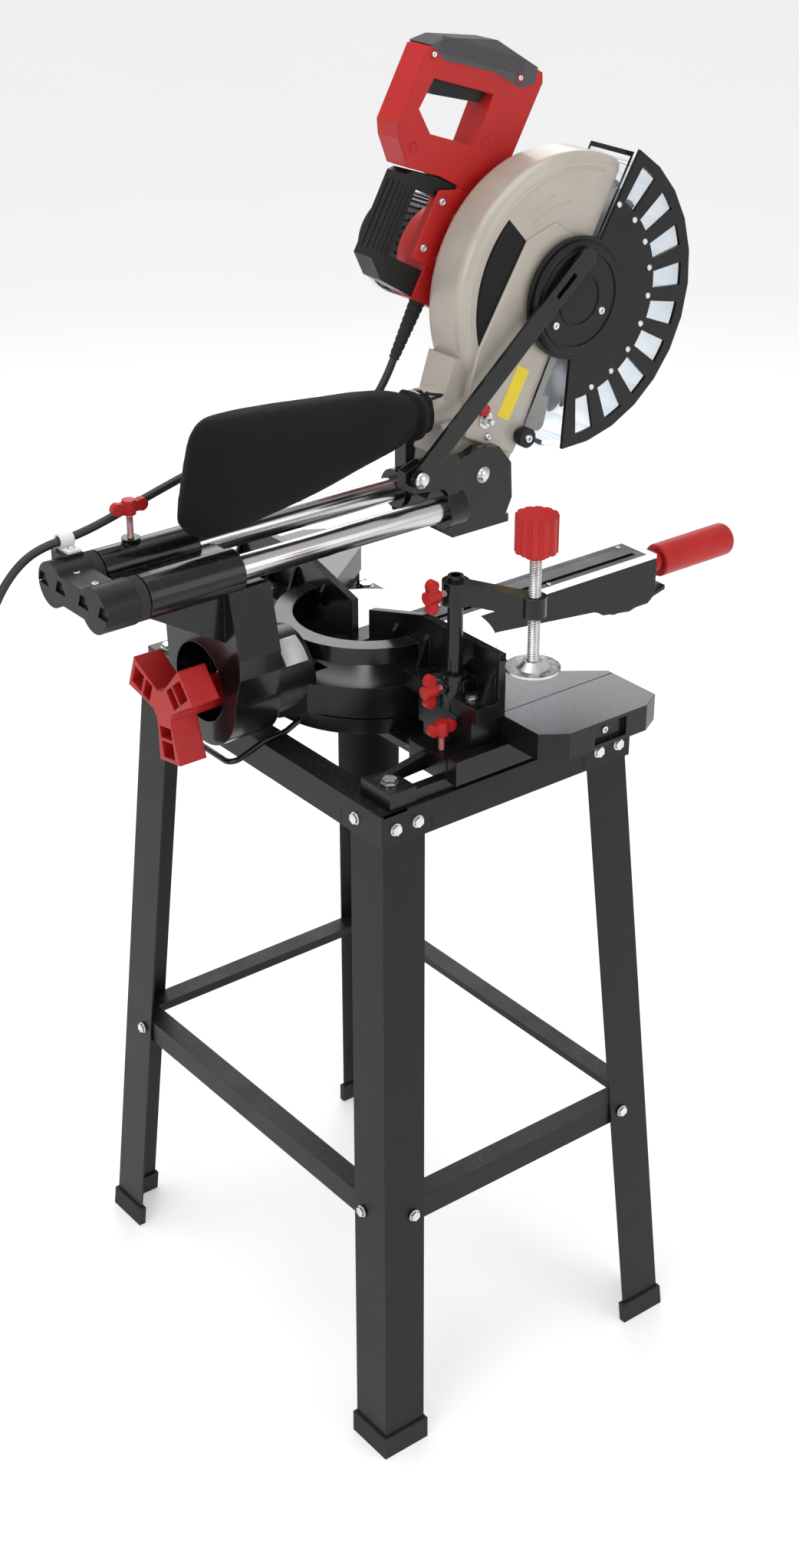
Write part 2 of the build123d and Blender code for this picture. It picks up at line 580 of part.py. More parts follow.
def make_bail():
    side = [(103, 751), (132, 738), (160, 735), (197, 722)]
    left = [(-26, y, z) for y, z in side]
    right = [(56, y, z) for y, z in reversed(side)]
    path = FilletPolyline(*left, *right, radius=12)
    node("rear_bail", sweep(Plane(origin=path @ 0, z_dir=path % 0) * Circle(3), path=path))


# --------------------------------------------------------------------- slide
def make_slide():
    rails = []
    for side in (-1, 1):
        bar = rod_y(side * RAIL_X, RAIL_FRONT, RAIL_REAR, RAIL_Z, RAIL_R)
        rails.append(bar - rod_y(side * RAIL_X, RAIL_FRONT - 1, RAIL_REAR + 1, RAIL_Z, RAIL_R - 2.5))
    node("slide_rails", *rails)

    cap = block(-RAIL_X, RAIL_X, 310, 344, RAIL_Z - 14, RAIL_Z + 14)
    for side in (-1, 1):
        cap += rod_y(side * RAIL_X, 308, 344, RAIL_Z, 22)
    cap += block(RAIL_X - 4, RAIL_X + 20, 310, 330, RAIL_Z + 10, RAIL_Z + 25)
    for side in (-1, 1):
        cap -= rod_y(side * RAIL_X, 300, RAIL_REAR, RAIL_Z, RAIL_R + 0.02)
    for x in (-54, -20, 20, 50):
        cap -= slab_y([(x - 9, RAIL_Z - 3), (x + 9, RAIL_Z - 3), (x + 4, RAIL_Z + 9), (x - 4, RAIL_Z + 9)], 341, 346)
    node("rail_end_cap", cap)
    rings = []
    for side in (-1, 1):
        ring = rod_y(side * RAIL_X, 296.5, 307.7, RAIL_Z, 21)
        rings.append(ring - rod_y(side * RAIL_X, 290, 310, RAIL_Z, RAIL_R + 0.02))
    node("rail_bumpers", *rings)

    x, y, z = CLIP_AT
    strap = block(x - 17, x + 5.5, y - 7, y + 7, RAIL_Z + 25.1, RAIL_Z + 27.5)
    loop = rod_y(x, y - 7, y + 7, z, CORD_D / 2 + 3)
    loop -= rod_y(x, y - 8, y + 8, z, CORD_D / 2 + 1)
    node("cord_clip", (strap - rod_y(x, y - 8, y + 8, z, CORD_D / 2 + 1)) + loop)

    outline = [(-64, 908), (-128, 908), (-136, 925), (-134, 962), (-118, 982), (-92, 986), (-64, 978)]
    near = slab_x(outline, -46, -34)
    far = slab_x(outline, 34, 52)
    cheeks = near + far
    base = block(-46, 52, -78, -54, RAIL_Z - 21, RAIL_Z + 3)
    base += block(-46, 52, -132, -60, 900, 908.5)
    for side in (-1, 1):
        base += rod_y(side * RAIL_X, -72, -50, RAIL_Z, 20)
    lug = slab_x([(-66, 940), (-66, 984), (-20, 989), (0, 982), (2, 966), (-10, 958), (-49, 954), (-56, 940)], -47.5, -36)
    carriage = cheeks + base + lug
    carriage += slab_x([(-120, 968), (-130, 984), (-168, 990), (-172, 980), (-134, 960)], 34, 44)
    for side in (-1, 1):
        carriage -= rod_y(side * RAIL_X, RAIL_FRONT - 0.1, -40, RAIL_Z, RAIL_R + 0.02)
    carriage -= rod_x(-60, 60, PIVOT_Y, PIVOT_Z, 8.02)
    carriage -= rod_x(-60, -30, LINK_Y, LINK_Z, 4.02)
    node("carriage", carriage)
    pin = rod_x(-46.5, 52.5, PIVOT_Y, PIVOT_Z, 8)
    node("pivot_pin", pin)
    spring = rod_x(-18, 14, PIVOT_Y, PIVOT_Z, 15) - rod_x(-20, 20, PIVOT_Y, PIVOT_Z, 9)
    node("return_spring", spring)


# ---------------------------------------------------------------------- head
HEAD = Pos(0, PIVOT_Y, PIVOT_Z) * Rot(-HEAD_UP, 0, 0)


def side_plate(outline, x0, x1):
    """Prism across the saw on a (forward, up) outline in the level head."""
    return slab_x([(-s, h) for s, h in outline], x0, x1)


def cross(s, h, x0, x1, r):
    """Round bar across the level head."""
    return rod_x(x0, x1, -s, h, r)


def wedge(a0, a1, r, x0, x1):
    """Sector of a disc about the blade centre; angles run from the rear over the top to the front."""
    steps = 12
    points = [(HUB_S, HUB_H)]
    for i in range(steps + 1):
        a = math.radians(a0 + (a1 - a0) * i / steps)
        points.append((HUB_S - r * math.cos(a), HUB_H + r * math.sin(a)))
    return side_plate(points, x0, x1)


def head_casting():
    guard = cross(HUB_S, HUB_H, GUARD_X0, GUARD_X1, GUARD_R)
    guard = fillet(guard.edges().group_by(Axis.X)[0], 12)
    guard = fillet(guard.edges().group_by(Axis.X)[-1], 8)
    arm = side_plate([(-6, -24), (0, -46), (150, -46), (150, 50), (66, 50), (0, 44), (-14, 20)], -24, 16)
    duct = side_plate([(18, 40), (30, 62), (92, 74), (100, 40)], -24, 16)
    port = rod((-5, -62, 22), (-5, -33, 74), PORT_R)
    casting = guard + arm + duct + cross(0, 0, -33.5, 33.5, 24) + port
    casting -= cross(HUB_S, HUB_H, GUARD_X0 + 5, GUARD_X1 - 4, GUARD_R - 7)
    casting -= wedge(178, 344, 240, -60, 60)
    casting -= side_plate([(96, -47), (HUB_S, HUB_H - 20), (HUB_S, HUB_H - 60), (96, -120)], -60, 60)
    casting -= rod((-5, -75, 5), (-5, -28, 83), PORT_R - 3)
    casting -= cross(0, 0, -40, 40, 8 + FIT)
    casting -= cross(0, 0, -20, 14, 16)
    casting -= cross(HUB_S, HUB_H, -40, 40, FAR_BOSS_R + BOSS_GAP)
    casting += cross(HUB_S, HUB_H, -36, GUARD_X0 + 4.5, NEAR_BOSS_R) - cross(HUB_S, HUB_H, -40, 0, 12)
    return casting - cross(LOCK_S, LOCK_H, -34, -16, 6 + FIT)


def make_head():
    node("head_casting", HEAD * head_casting())

    blade = cross(HUB_S, HUB_H, -BLADE_T / 2, BLADE_T / 2, BLADE_R) - cross(HUB_S, HUB_H, -5, 5, 15.02)
    node("blade", HEAD * blade)
    spindle = cross(HUB_S, HUB_H, -14, 50, 8)
    spindle += cross(HUB_S, HUB_H, -BLADE_T / 2, BLADE_T / 2, 15)
    spindle += cross(HUB_S, HUB_H, BLADE_T / 2 + 0.02, 8, 22) + cross(HUB_S, HUB_H, -7, -BLADE_T / 2 - 0.02, 22)
    spindle += cross(HUB_S, HUB_H, 38, 50, SPINDLE_GEAR_R - 0.3)
    node("spindle", HEAD * spindle)
    armature = cross(MOTOR_S, MOTOR_H, 38, 146, 6) + cross(MOTOR_S, MOTOR_H, 76, 136, 26)
    armature += cross(MOTOR_S, MOTOR_H, 38, 50, PINION_R)
    node("armature", HEAD * armature)
    centres = math.hypot(MOTOR_S - HUB_S, MOTOR_H - HUB_H)
    idler_r = (centres - PINION_R - SPINDLE_GEAR_R) / 2
    part_way = (PINION_R + idler_r) / centres
    idler_s = MOTOR_S + (HUB_S - MOTOR_S) * part_way
    idler_h = MOTOR_H + (HUB_H - MOTOR_H) * part_way
    idler = cross(idler_s, idler_h, 38, 50, idler_r - 0.3) + cross(idler_s, idler_h, 34.3, 55.7, 4)
    node("idler_gear", HEAD * idler)

    plate_n = wedge(180, 357, LOWER_R, -36, -33) - cross(HUB_S, HUB_H, -50, 50, 52)
    plate_f = wedge(180, 344, LOWER_R, 24, 27) - cross(HUB_S, HUB_H, -50, 50, 52)
    rim = wedge(180, 344, LOWER_R, -36, 27) - cross(HUB_S, HUB_H, -50, 50, LOWER_R - 5)
    hub_ring = cross(HUB_S, HUB_H, -36, -33, 54) - cross(HUB_S, HUB_H, -50, 50, NEAR_BOSS_R + BOSS_GAP)
    hub_far = cross(HUB_S, HUB_H, 24, 27, 54) - cross(HUB_S, HUB_H, -50, 50, FAR_BOSS_R + BOSS_GAP)
    lower = plate_n + rim + plate_f + hub_ring + hub_far
    pin_a = math.radians(PIN_ANGLE)
    pin_s = HUB_S - PIN_R * math.cos(pin_a)
    pin_h = HUB_H + PIN_R * math.sin(pin_a)
    roll_a = math.radians(356.3)
    roll_s = HUB_S - 143.5 * math.cos(roll_a)
    roll_h = HUB_H + 143.5 * math.sin(roll_a)
    lower += cross(roll_s, roll_h, -36, -33, 9)
    lower += cross(roll_s, roll_h, -46, -33, 3)
    node("lower_guard", HEAD * lower)
    roller = cross(roll_s, roll_h, -45, -37, 10) - cross(roll_s, roll_h, -50, -30, 3 + FIT)
    node("guard_roller", HEAD * roller)
    cover = wedge(181, 335, LOWER_R + 4, -40, -36.4) - cross(HUB_S, HUB_H, -50, 50, 60)
    for i in range(9):
        a0 = 186 + 16.6 * i
        window = wedge(a0, a0 + 9.5, LOWER_R - 8, -50, -30) - cross(HUB_S, HUB_H, -60, 0, 104)
        cover -= window
    cover += cross(HUB_S, HUB_H, -40, -36.4, 61)
    node("guard_cover", HEAD * cover)
    hub = cross(HUB_S, HUB_H, -45.5, -40.2, HUB_COVER_R)
    hub = chamfer(hub.edges().group_by(Axis.X)[0], 3)
    hub += cross(pin_s, pin_h, -47.5, -45, 6)
    node("hub_cover", HEAD * hub)

    shell_outline = [
        (129, 58), (367, 57), (375, 62), (377, 130), (355, 189), (341, 204), (267, 204), (255, 196), (236, 173),
        (243, 132), (243, 107), (129, 107),
    ]
    window = [(283, 107), (334, 109), (319, 184), (288, 187), (273, 163)]
    shell = side_plate(shell_outline, SHELL_X0, SHELL_X1) - side_plate(window, 0, 100)
    grip_line = [(344, 203), (357, 188), (379, 130), (377, 70), (362, 66), (352, 80), (352, 120), (338, 180)]
    grip = side_plate(grip_line, SHELL_X0, SHELL_X1)
    shell -= grip
    trigger_line = [(319, 183), (336, 113), (322, 114), (307, 172)]
    shell -= side_plate([(308, 187), (330, 187), (340, 110), (320, 110)], 38, 54)
    shell -= side_plate([(136, 66), (236, 66), (236, 100), (136, 100)], 34, 58)
    gear_case = cross(HUB_S, HUB_H, SHELL_X0, SHELL_X1 - 2, 42) + side_plate([(150, -20), (236, -20), (240, 60), (146, 60)], SHELL_X0, SHELL_X1)
    gear_case += cross(HUB_S, HUB_H, 17, SHELL_X0 + 1, FAR_BOSS_R)
    shell += gear_case
    shell -= cross(HUB_S, HUB_H, 34, 56, 36)
    shell -= side_plate([(158, -30), (226, -30), (226, 62), (158, 62)], 34, 56)
    shell -= cross(HUB_S, HUB_H, 0, 40, 8.3)
    shell -= cross(MOTOR_S, MOTOR_H, 40, 80, 9)
    left_half = shell & block(SHELL_X0 - 1, 45.9, -500, 10, -100, 300)
    right_half = shell & block(46.0, SHELL_X1 + 1, -500, 10, -100, 300)
    node("handle_shell", HEAD * left_half, HEAD * right_half)
    node("handle_grip", HEAD * grip)
    trigger = side_plate(trigger_line, 39, 53)
    node("trigger", HEAD * trigger)

    outer = [(130, 107.2), (132, 150), (147, 171), (230, 171), (235.5, 165), (241.5, 133), (242.5, 107.2)]
    inner = [(226, 107.2), (224, 152), (156, 152), (156.8, 107.2)]
    loop = side_plate(outer + inner, 32, 60)
    node("carry_handle", HEAD * loop)

    motor = cross(MOTOR_S, MOTOR_H, SHELL_X1 + 0.1, 150, MOTOR_R)
    motor -= cross(MOTOR_S, MOTOR_H, 70, 151, MOTOR_R - 6)
    motor -= cross(MOTOR_S, MOTOR_H, 50, 80, 9)
    node("motor_housing", HEAD * motor)
    cap = cross(MOTOR_S, MOTOR_H, 150.1, 166, MOTOR_R - 3)
    cap = fillet(cap.edges().group_by(Axis.X)[-1], 8)
    cap -= cross(MOTOR_S, MOTOR_H, 149, 158, MOTOR_R - 10)
    node("motor_cap", HEAD * cap)
    button = cross(LOCK_S, LOCK_H, -37, -20, 6)
    node("spindle_lock", HEAD * button)


def make_link():
    a = math.radians(LINK_ANGLE)
    dy = math.cos(a)
    dz = math.sin(a)
    half = 10.0
    tip = (LINK_Y + (LINK_L + 4) * dy, LINK_Z + (LINK_L + 4) * dz)
    outline = [
        (LINK_Y - half * dz, LINK_Z + half * dy),
        (LINK_Y + half * dz, LINK_Z - half * dy),
        (tip[0] + half * dz, tip[1] - half * dy),
        (tip[0] - half * dz, tip[1] + half * dy),
    ]
    bar = slab_x(outline, -53, -48.5)
    bar += rod_x(-53, -48.5, LINK_Y, LINK_Z, half) + rod_x(-53, -48.5, tip[0], tip[1], half)
    bar -= rod_x(-60, -40, LINK_Y, LINK_Z, 4 + FIT)
    slot = []
    for along, across in ((LINK_L - 46, 3), (LINK_L - 16, 3), (LINK_L - 16, -3), (LINK_L - 46, -3)):
        slot.append((LINK_Y + along * dy - across * dz, LINK_Z + along * dz + across * dy))
    bar -= slab_x(slot, -54, -48)
    pin = rod_x(-53.4, -36, LINK_Y, LINK_Z, 4) + rod_x(-57, -53.3, LINK_Y, LINK_Z, 8.5)
    node("link_arm", bar, pin)


def make_bag():
    outline = [
        (-42, 999), (-44, 1046), (10, 1066), (150, 1076), (206, 1078), (226, 1062), (250, 996), (232, 966),
        (200, 964), (150, 972), (60, 990), (14, 1000),
    ]
    bag = slab_x(outline, BAG_X0, BAG_X1)
    bag = fillet(bag.edges().filter_by(Axis.X), 5)
    collar = rod_y(-5, -55, -40, 1022, PORT_R + 3) - rod_y(-5, -66, -46, 1022, PORT_R + 0.3)
    node("dust_bag", bag + collar)


# ---------------------------------------------------------------------- cord
def head_point(s, h, x):
    """A point of the level head carried to its place."""
    a = math.radians(HEAD_UP)
    y = PIVOT_Y - s * math.cos(a) + h * math.sin(a)
    z = PIVOT_Z + s * math.sin(a) + h * math.cos(a)
    return (x, y, z)


def tube(name, route, gap=0.0):
    """Round cord along a route, straight runs joined by tangent arcs, stopping short by the gap."""
    points = [Vector(*p) for p in route]
    points[-1] += (points[-2] - points[-1]).normalized() * gap
    radii = []
    for a, b, c in zip(points, points[1:], points[2:]):
        turn = math.radians((b - a).get_angle(c - b))
        radii.append(0.45 * min((b - a).length, (c - b).length) / math.tan(turn / 2))
    path = FilletPolyline(*points, radius=radii)
    solid = sweep(Plane(origin=path @ 0, z_dir=path % 0) * Circle(CORD_D / 2), path=path)
    ratio = solid.volume / (math.pi * CORD_D**2 / 4 * path.length)
    print(name, "length", round(path.length, 1), "volume ratio", round(ratio, 4), "radii", [round(r) for r in radii])
    node(name, solid)
    return path.length


EXIT = head_point(70, 85, 46)
LEAD = [
    EXIT,
    head_point(48, 83, 47),
    (50, -30, 1014),
    (53, 12, 1003),
    (55, 62, 1003),
    (57, 114, 1001),
    (58, 166, 994),
    (58, 214, 982),
    (56, 262, 970),
    (53, 300, 963),
    CLIP_AT,
]
TAIL = [
    CLIP_AT,
    (52, 338, 961),
    (53, 364, 951),
    (54, 388, 926),
    (56, 404, 890),
    (58, 416, 846),
]
DROP = [
    (58, 416, 846),
    (60, 425, 797),
    (64, 432, 745),
    (67, 440, 692),
    (69, 444, 640),
]
FALL = [
    (69, 444, 640),
    (70, 447, 588),
    (73, 451, 532),
    (74, 457, 475),
    (77, 460, 417),
    (78, 465, 360),
    (82, 468, 303),
    (84, 473, 246),
    (88, 475, 190),
    (90, 480, 136),
    (95, 485, 84),
    (101, 494, 42),
    (112, 505, 14),
    (130, 514, 4.6),
]
COIL_AT = (138.0, 566.0)
JOINT_GAP = 0.6            # between lengths of cord on different bodies
COIL_R = 45.0
PLUG_ASIDE = 26.0          # the plug's axis from the coil's centre
PLUG_Z = 25.0


def make_cord():
    boot_tip = head_point(70.1, 85, 46)
    boot_root = head_point(129, 85, 46)
    relief = Plane(origin=boot_root, z_dir=(Vector(*boot_tip) - Vector(*boot_root)).normalized())
    length = (Vector(*boot_tip) - Vector(*boot_root)).length
    boot = relief * Cone(8, 5.2, length, align=(Align.CENTER, Align.CENTER, Align.MIN))
    node("cord_relief", boot)
    total = tube("cord_lead", LEAD, JOINT_GAP)
    total += tube("cord_tail", TAIL, JOINT_GAP)
    total += tube("cord_drop", DROP, JOINT_GAP)
    total += tube("cord_fall", FALL)
    print("cord run", round(total, 1))
    x, y = COIL_AT
    coil = rod_z(x, y, 0.1, 2 * CORD_D + 0.1, COIL_R + CORD_D) - rod_z(x, y, -1, 30, COIL_R - CORD_D)
    node("cord_coil", coil)
    plug_y = y + PLUG_ASIDE
    plug = block(x - 50, x - 10, plug_y - 19, plug_y + 19, PLUG_Z - 8, PLUG_Z + 8)
    plug += rod((x - 10, plug_y, PLUG_Z), (x + 14, plug_y, PLUG_Z), 7.5)
    for pin_y in (-9.5, 9.5):
        plug += rod((x - 69, plug_y + pin_y, PLUG_Z), (x - 50, plug_y + pin_y, PLUG_Z), 2.4)
    node("cord_plug", plug)


def main():
    make_stand()
    make_bolts()
    make_base()
    make_fence()
    make_wings()
    make_clamp()
    make_turntable()
    make_bevel()
    make_bail()
    make_slide()
    make_head()
    make_link()
    make_bag()
    make_cord()
    move = Pos(SHIFT_X, SHIFT_Y, 0)
    for name, solids in NODES.items():
        moved = [move * s for s in solids]
        shape = moved[0] if len(moved) == 1 else Compound(children=moved)
        export_step(shape, "parts/" + name + ".step")
    print(len(NODES), "nodes")


main()
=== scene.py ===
"""Looks of a sliding mitre saw on a splayed steel stand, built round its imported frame."""
import logging
import math
from dataclasses import dataclass, field
from enum import Enum

import bmesh
import bpy
import numpy as np
from mathutils import Matrix, Vector


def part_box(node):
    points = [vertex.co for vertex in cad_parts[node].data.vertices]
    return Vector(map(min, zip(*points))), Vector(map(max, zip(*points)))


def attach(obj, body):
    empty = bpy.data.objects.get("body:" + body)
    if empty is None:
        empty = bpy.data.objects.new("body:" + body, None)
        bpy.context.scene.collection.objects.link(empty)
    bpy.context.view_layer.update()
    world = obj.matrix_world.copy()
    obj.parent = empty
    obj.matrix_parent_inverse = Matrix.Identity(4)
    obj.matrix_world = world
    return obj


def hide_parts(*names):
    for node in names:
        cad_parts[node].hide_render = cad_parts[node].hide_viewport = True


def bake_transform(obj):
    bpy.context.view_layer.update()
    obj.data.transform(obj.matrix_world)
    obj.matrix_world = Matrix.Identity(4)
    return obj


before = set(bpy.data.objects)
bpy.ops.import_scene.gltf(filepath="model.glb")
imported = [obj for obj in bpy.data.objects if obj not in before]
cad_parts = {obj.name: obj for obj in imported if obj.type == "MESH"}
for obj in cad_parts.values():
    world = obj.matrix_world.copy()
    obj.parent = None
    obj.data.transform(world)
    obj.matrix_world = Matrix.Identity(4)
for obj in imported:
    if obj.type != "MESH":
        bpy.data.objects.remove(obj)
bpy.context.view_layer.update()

MM = 0.001
RGB = tuple[float, float, float]
Array = np.ndarray
Socket = bpy.types.NodeSocket
log = logging.getLogger("mitre_saw")


class Way(Enum):
    """Unit directions in the row frame."""

    LEFT = (-1.0, 0.0, 0.0)
    RIGHT = (1.0, 0.0, 0.0)
    FRONT = (0.0, -1.0, 0.0)
    BACK = (0.0, 1.0, 0.0)
    UP = (0.0, 0.0, 1.0)


# ------------------------------------------------------------------ surfaces
def grid_faces(rows: int, columns: int, round_columns: bool = True) -> Array:
    """Quads between neighbouring points of a grid kept row by row.

    Args:
        rows: number of rows.
        columns: number of points in a row.
        round_columns: whether the last column joins the first.

    Returns:
        An array of four point numbers for each quad.
    """
    i = np.arange(rows - 1)[:, None]
    j = np.arange(columns if round_columns else columns - 1)[None, :]
    k = (j + 1) % columns
    corners = [i * columns + j, i * columns + k, (i + 1) * columns + k, (i + 1) * columns + j]
    return np.stack(np.broadcast_arrays(*corners), axis=-1).reshape(-1, 4)


def axes_for(direction: Array) -> Array:
    """Right-handed axes whose third column is the direction.

    Args:
        direction: any vector.

    Returns:
        A 3 by 3 array with the axes as columns.
    """
    third = np.asarray(direction, float) / np.linalg.norm(direction)
    spare = np.eye(3)[np.argmin(np.abs(third))]
    first = np.cross(spare, third)
    first /= np.linalg.norm(first)
    return np.stack([first, np.cross(third, first), third], axis=1)


@dataclass
class Shape:
    """A surface: points in metres, and faces as arrays of point numbers, one array for each size of face."""

    points: Array
    faces: list[Array]
    uv: Array | None = None

    def joined(self, *others: "Shape") -> "Shape":
        """This surface and the others as one."""
        points, faces = self.points, list(self.faces)
        for other in others:
            faces += [f + len(points) for f in other.faces]
            points = np.vstack([points, other.points])
        return Shape(points, faces)

    def repeated(self, origins: Array, axes: Array) -> "Shape":
        """Copies of the surface, each with its own origin.

        Args:
            origins: one point for each copy.
            axes: 3 by 3 axes for all copies, or one for each.

        Returns:
            All copies as one surface: axes times point, plus origin.
        """
        origins = np.asarray(origins, float).reshape(-1, 3)
        turned_axes = np.broadcast_to(axes, (len(origins), 3, 3))
        moved = np.einsum("mij,nj->mni", turned_axes, self.points) + origins[:, None, :]
        step = len(self.points) * np.arange(len(origins))[:, None, None]
        faces = [(f[None] + step).reshape(-1, f.shape[1]) for f in self.faces]
        return Shape(moved.reshape(-1, 3), faces)

    def mesh(self, name: str, crease: float) -> bpy.types.Mesh:
        """The surface as a mesh, with doubles merged and faces outwards.

        Args:
            name: the mesh's name.
            crease: angle in degrees past which an edge stays sharp.

        Returns:
            The new mesh.
        """
        made = bpy.data.meshes.new(name)
        rows = [row for f in self.faces for row in f.tolist()]
        made.from_pydata(self.points.tolist(), [], rows)
        if self.uv is not None:
            corner = np.zeros(len(made.loops), dtype=np.int32)
            made.loops.foreach_get("vertex_index", corner)
            layer = made.uv_layers.new(name="along")
            layer.data.foreach_set("uv", self.uv[corner].astype(np.float32).ravel())
        work = bmesh.new()
        work.from_mesh(made)
        bmesh.ops.remove_doubles(work, verts=work.verts, dist=1e-6)
        bmesh.ops.recalc_face_normals(work, faces=work.faces)
        work.to_mesh(made)
        work.free()
        made.shade_smooth()
        made.set_sharp_from_angle(angle=math.radians(crease))
        return made


def turned(profile: list[tuple[float, float]], origin: Array, direction: Array, steps: int = 32) -> Shape:
    """Surface of revolution: a profile point (a, r) goes round the axis at distance r, a along it.

    Args:
        profile: (distance along the axis, radius) pairs in metres; a closed body starts and ends at radius 0.
        origin: where the axis starts.
        direction: the axis.
        steps: points round the axis.

    Returns:
        The surface.
    """
    along, radius = np.asarray(profile, float).T
    axes = axes_for(direction)
    angle = np.linspace(0, 2 * math.pi, steps, endpoint=False)
    ring = np.cos(angle)[:, None] * axes[:, 0] + np.sin(angle)[:, None] * axes[:, 1]
    points = np.asarray(origin) + along[:, None, None] * axes[:, 2] + radius[:, None, None] * ring[None]
    return Shape(points.reshape(-1, 3), [grid_faces(len(along), steps)])


def threaded(start: Array, end: Array, radius: float, pitch: float, steps: int = 20) -> Shape:
    """Screw thread: the radius falls by a triangle wave of distance along minus turn times pitch.

    Args:
        start: centre of one end.
        end: centre of the other end.
        radius: radius over the crests.
        pitch: distance from crest to crest.
        steps: points round the axis.

    Returns:
        A closed surface.
    """
    start, end = np.asarray(start, float), np.asarray(end, float)
    length = np.linalg.norm(end - start)
    axes = axes_for(end - start)
    along = np.linspace(0, length, int(6 * length / pitch) + 2)
    angle = np.linspace(0, 2 * math.pi, steps, endpoint=False)
    phase = (along[:, None] / pitch - angle[None, :] / (2 * math.pi)) % 1.0
    fade = np.clip(np.minimum(along, length - along) / pitch, 0, 1)[:, None]
    r = radius - 0.55 * pitch * (0.15 + 0.85 * fade) * np.abs(2 * phase - 1)
    ring = np.cos(angle)[:, None] * axes[:, 0] + np.sin(angle)[:, None] * axes[:, 1]
    points = start + along[:, None, None] * axes[:, 2] + r[..., None] * ring[None]
    points = np.concatenate([np.broadcast_to(start, (1, steps, 3)), points, np.broadcast_to(end, (1, steps, 3))])
    return Shape(points.reshape(-1, 3), [grid_faces(len(points), steps)])


def prism(outline: Array, depth: Array) -> Shape:
    """A flat outline carried along a vector, with both ends closed.

    Args:
        outline: the corner points in order, in metres.
        depth: the vector.

    Returns:
        A closed surface.
    """
    outline = np.asarray(outline, float)
    count = len(outline)
    points = np.vstack([outline, outline + np.asarray(depth, float)])
    ends = np.arange(2 * count).reshape(2, count)
    return Shape(points, [grid_faces(2, count), ends])


def carried(section: Array, path: Array, closed_ends: bool = True) -> Shape:
    """A profile carried along a path on axes that turn as little as they can.

    Args:
        section: (sideways, upwards) offsets of the profile in metres, for each station or for all.
        path: the stations.
        closed_ends: whether each end shrinks to its centre.

    Returns:
        The surface, with a UV of (turns round, metres along).
    """
    tangent = np.gradient(path, axis=0)
    tangent /= np.linalg.norm(tangent, axis=1)[:, None]
    side = axes_for(tangent[0])[:, 0]
    sides = np.empty_like(path)
    for i, t in enumerate(tangent):
        side = side - (side @ t) * t
        side /= np.linalg.norm(side)
        sides[i] = side
    ups = np.cross(tangent, sides)
    section = np.broadcast_to(section, (len(path), *np.shape(section)[-2:]))
    points = path[:, None] + section[..., :1] * sides[:, None] + section[..., 1:] * ups[:, None]
    along = np.concatenate([[0], np.cumsum(np.linalg.norm(np.diff(path, axis=0), axis=1))])
    if closed_ends:
        steps = points.shape[1]
        first, last = (np.broadcast_to(p, (1, steps, 3)) for p in (path[0], path[-1]))
        points = np.concatenate([first, points, last])
        along = np.concatenate([[0], along, along[-1:]])
    rows, columns = points.shape[:2]
    u, v = np.meshgrid(np.arange(columns) / columns, along)
    return Shape(points.reshape(-1, 3), [grid_faces(rows, columns)], np.stack([u, v], -1).reshape(-1, 2))


def circle(radius: float, steps: int = 20) -> Array:
    """Points of a circle about the origin, in order."""
    angle = np.linspace(0, 2 * math.pi, steps, endpoint=False)
    return radius * np.stack([np.cos(angle), np.sin(angle)], axis=1)


def smooth_rows(rows: Array, count: int) -> Array:
    """Rows of numbers run through a Catmull-Rom curve: a cubic through each pair with its neighbours' slopes.

    Args:
        rows: the rows that the curve goes through.
        count: how many rows to return.

    Returns:
        Evenly spread rows of the curve.
    """
    rows = np.asarray(rows, float)
    padded = np.vstack([2 * rows[0] - rows[1], rows, 2 * rows[-1] - rows[-2]])
    place = np.linspace(0, len(rows) - 1 - 1e-9, count)
    i = place.astype(int)
    t = (place - i)[:, None]
    a, b, c, d = (padded[i + k] for k in range(4))
    return 0.5 * (2 * b + (c - a) * t + (2 * a - 5 * b + 4 * c - d) * t**2 + (3 * b - a - 3 * c + d) * t**3)


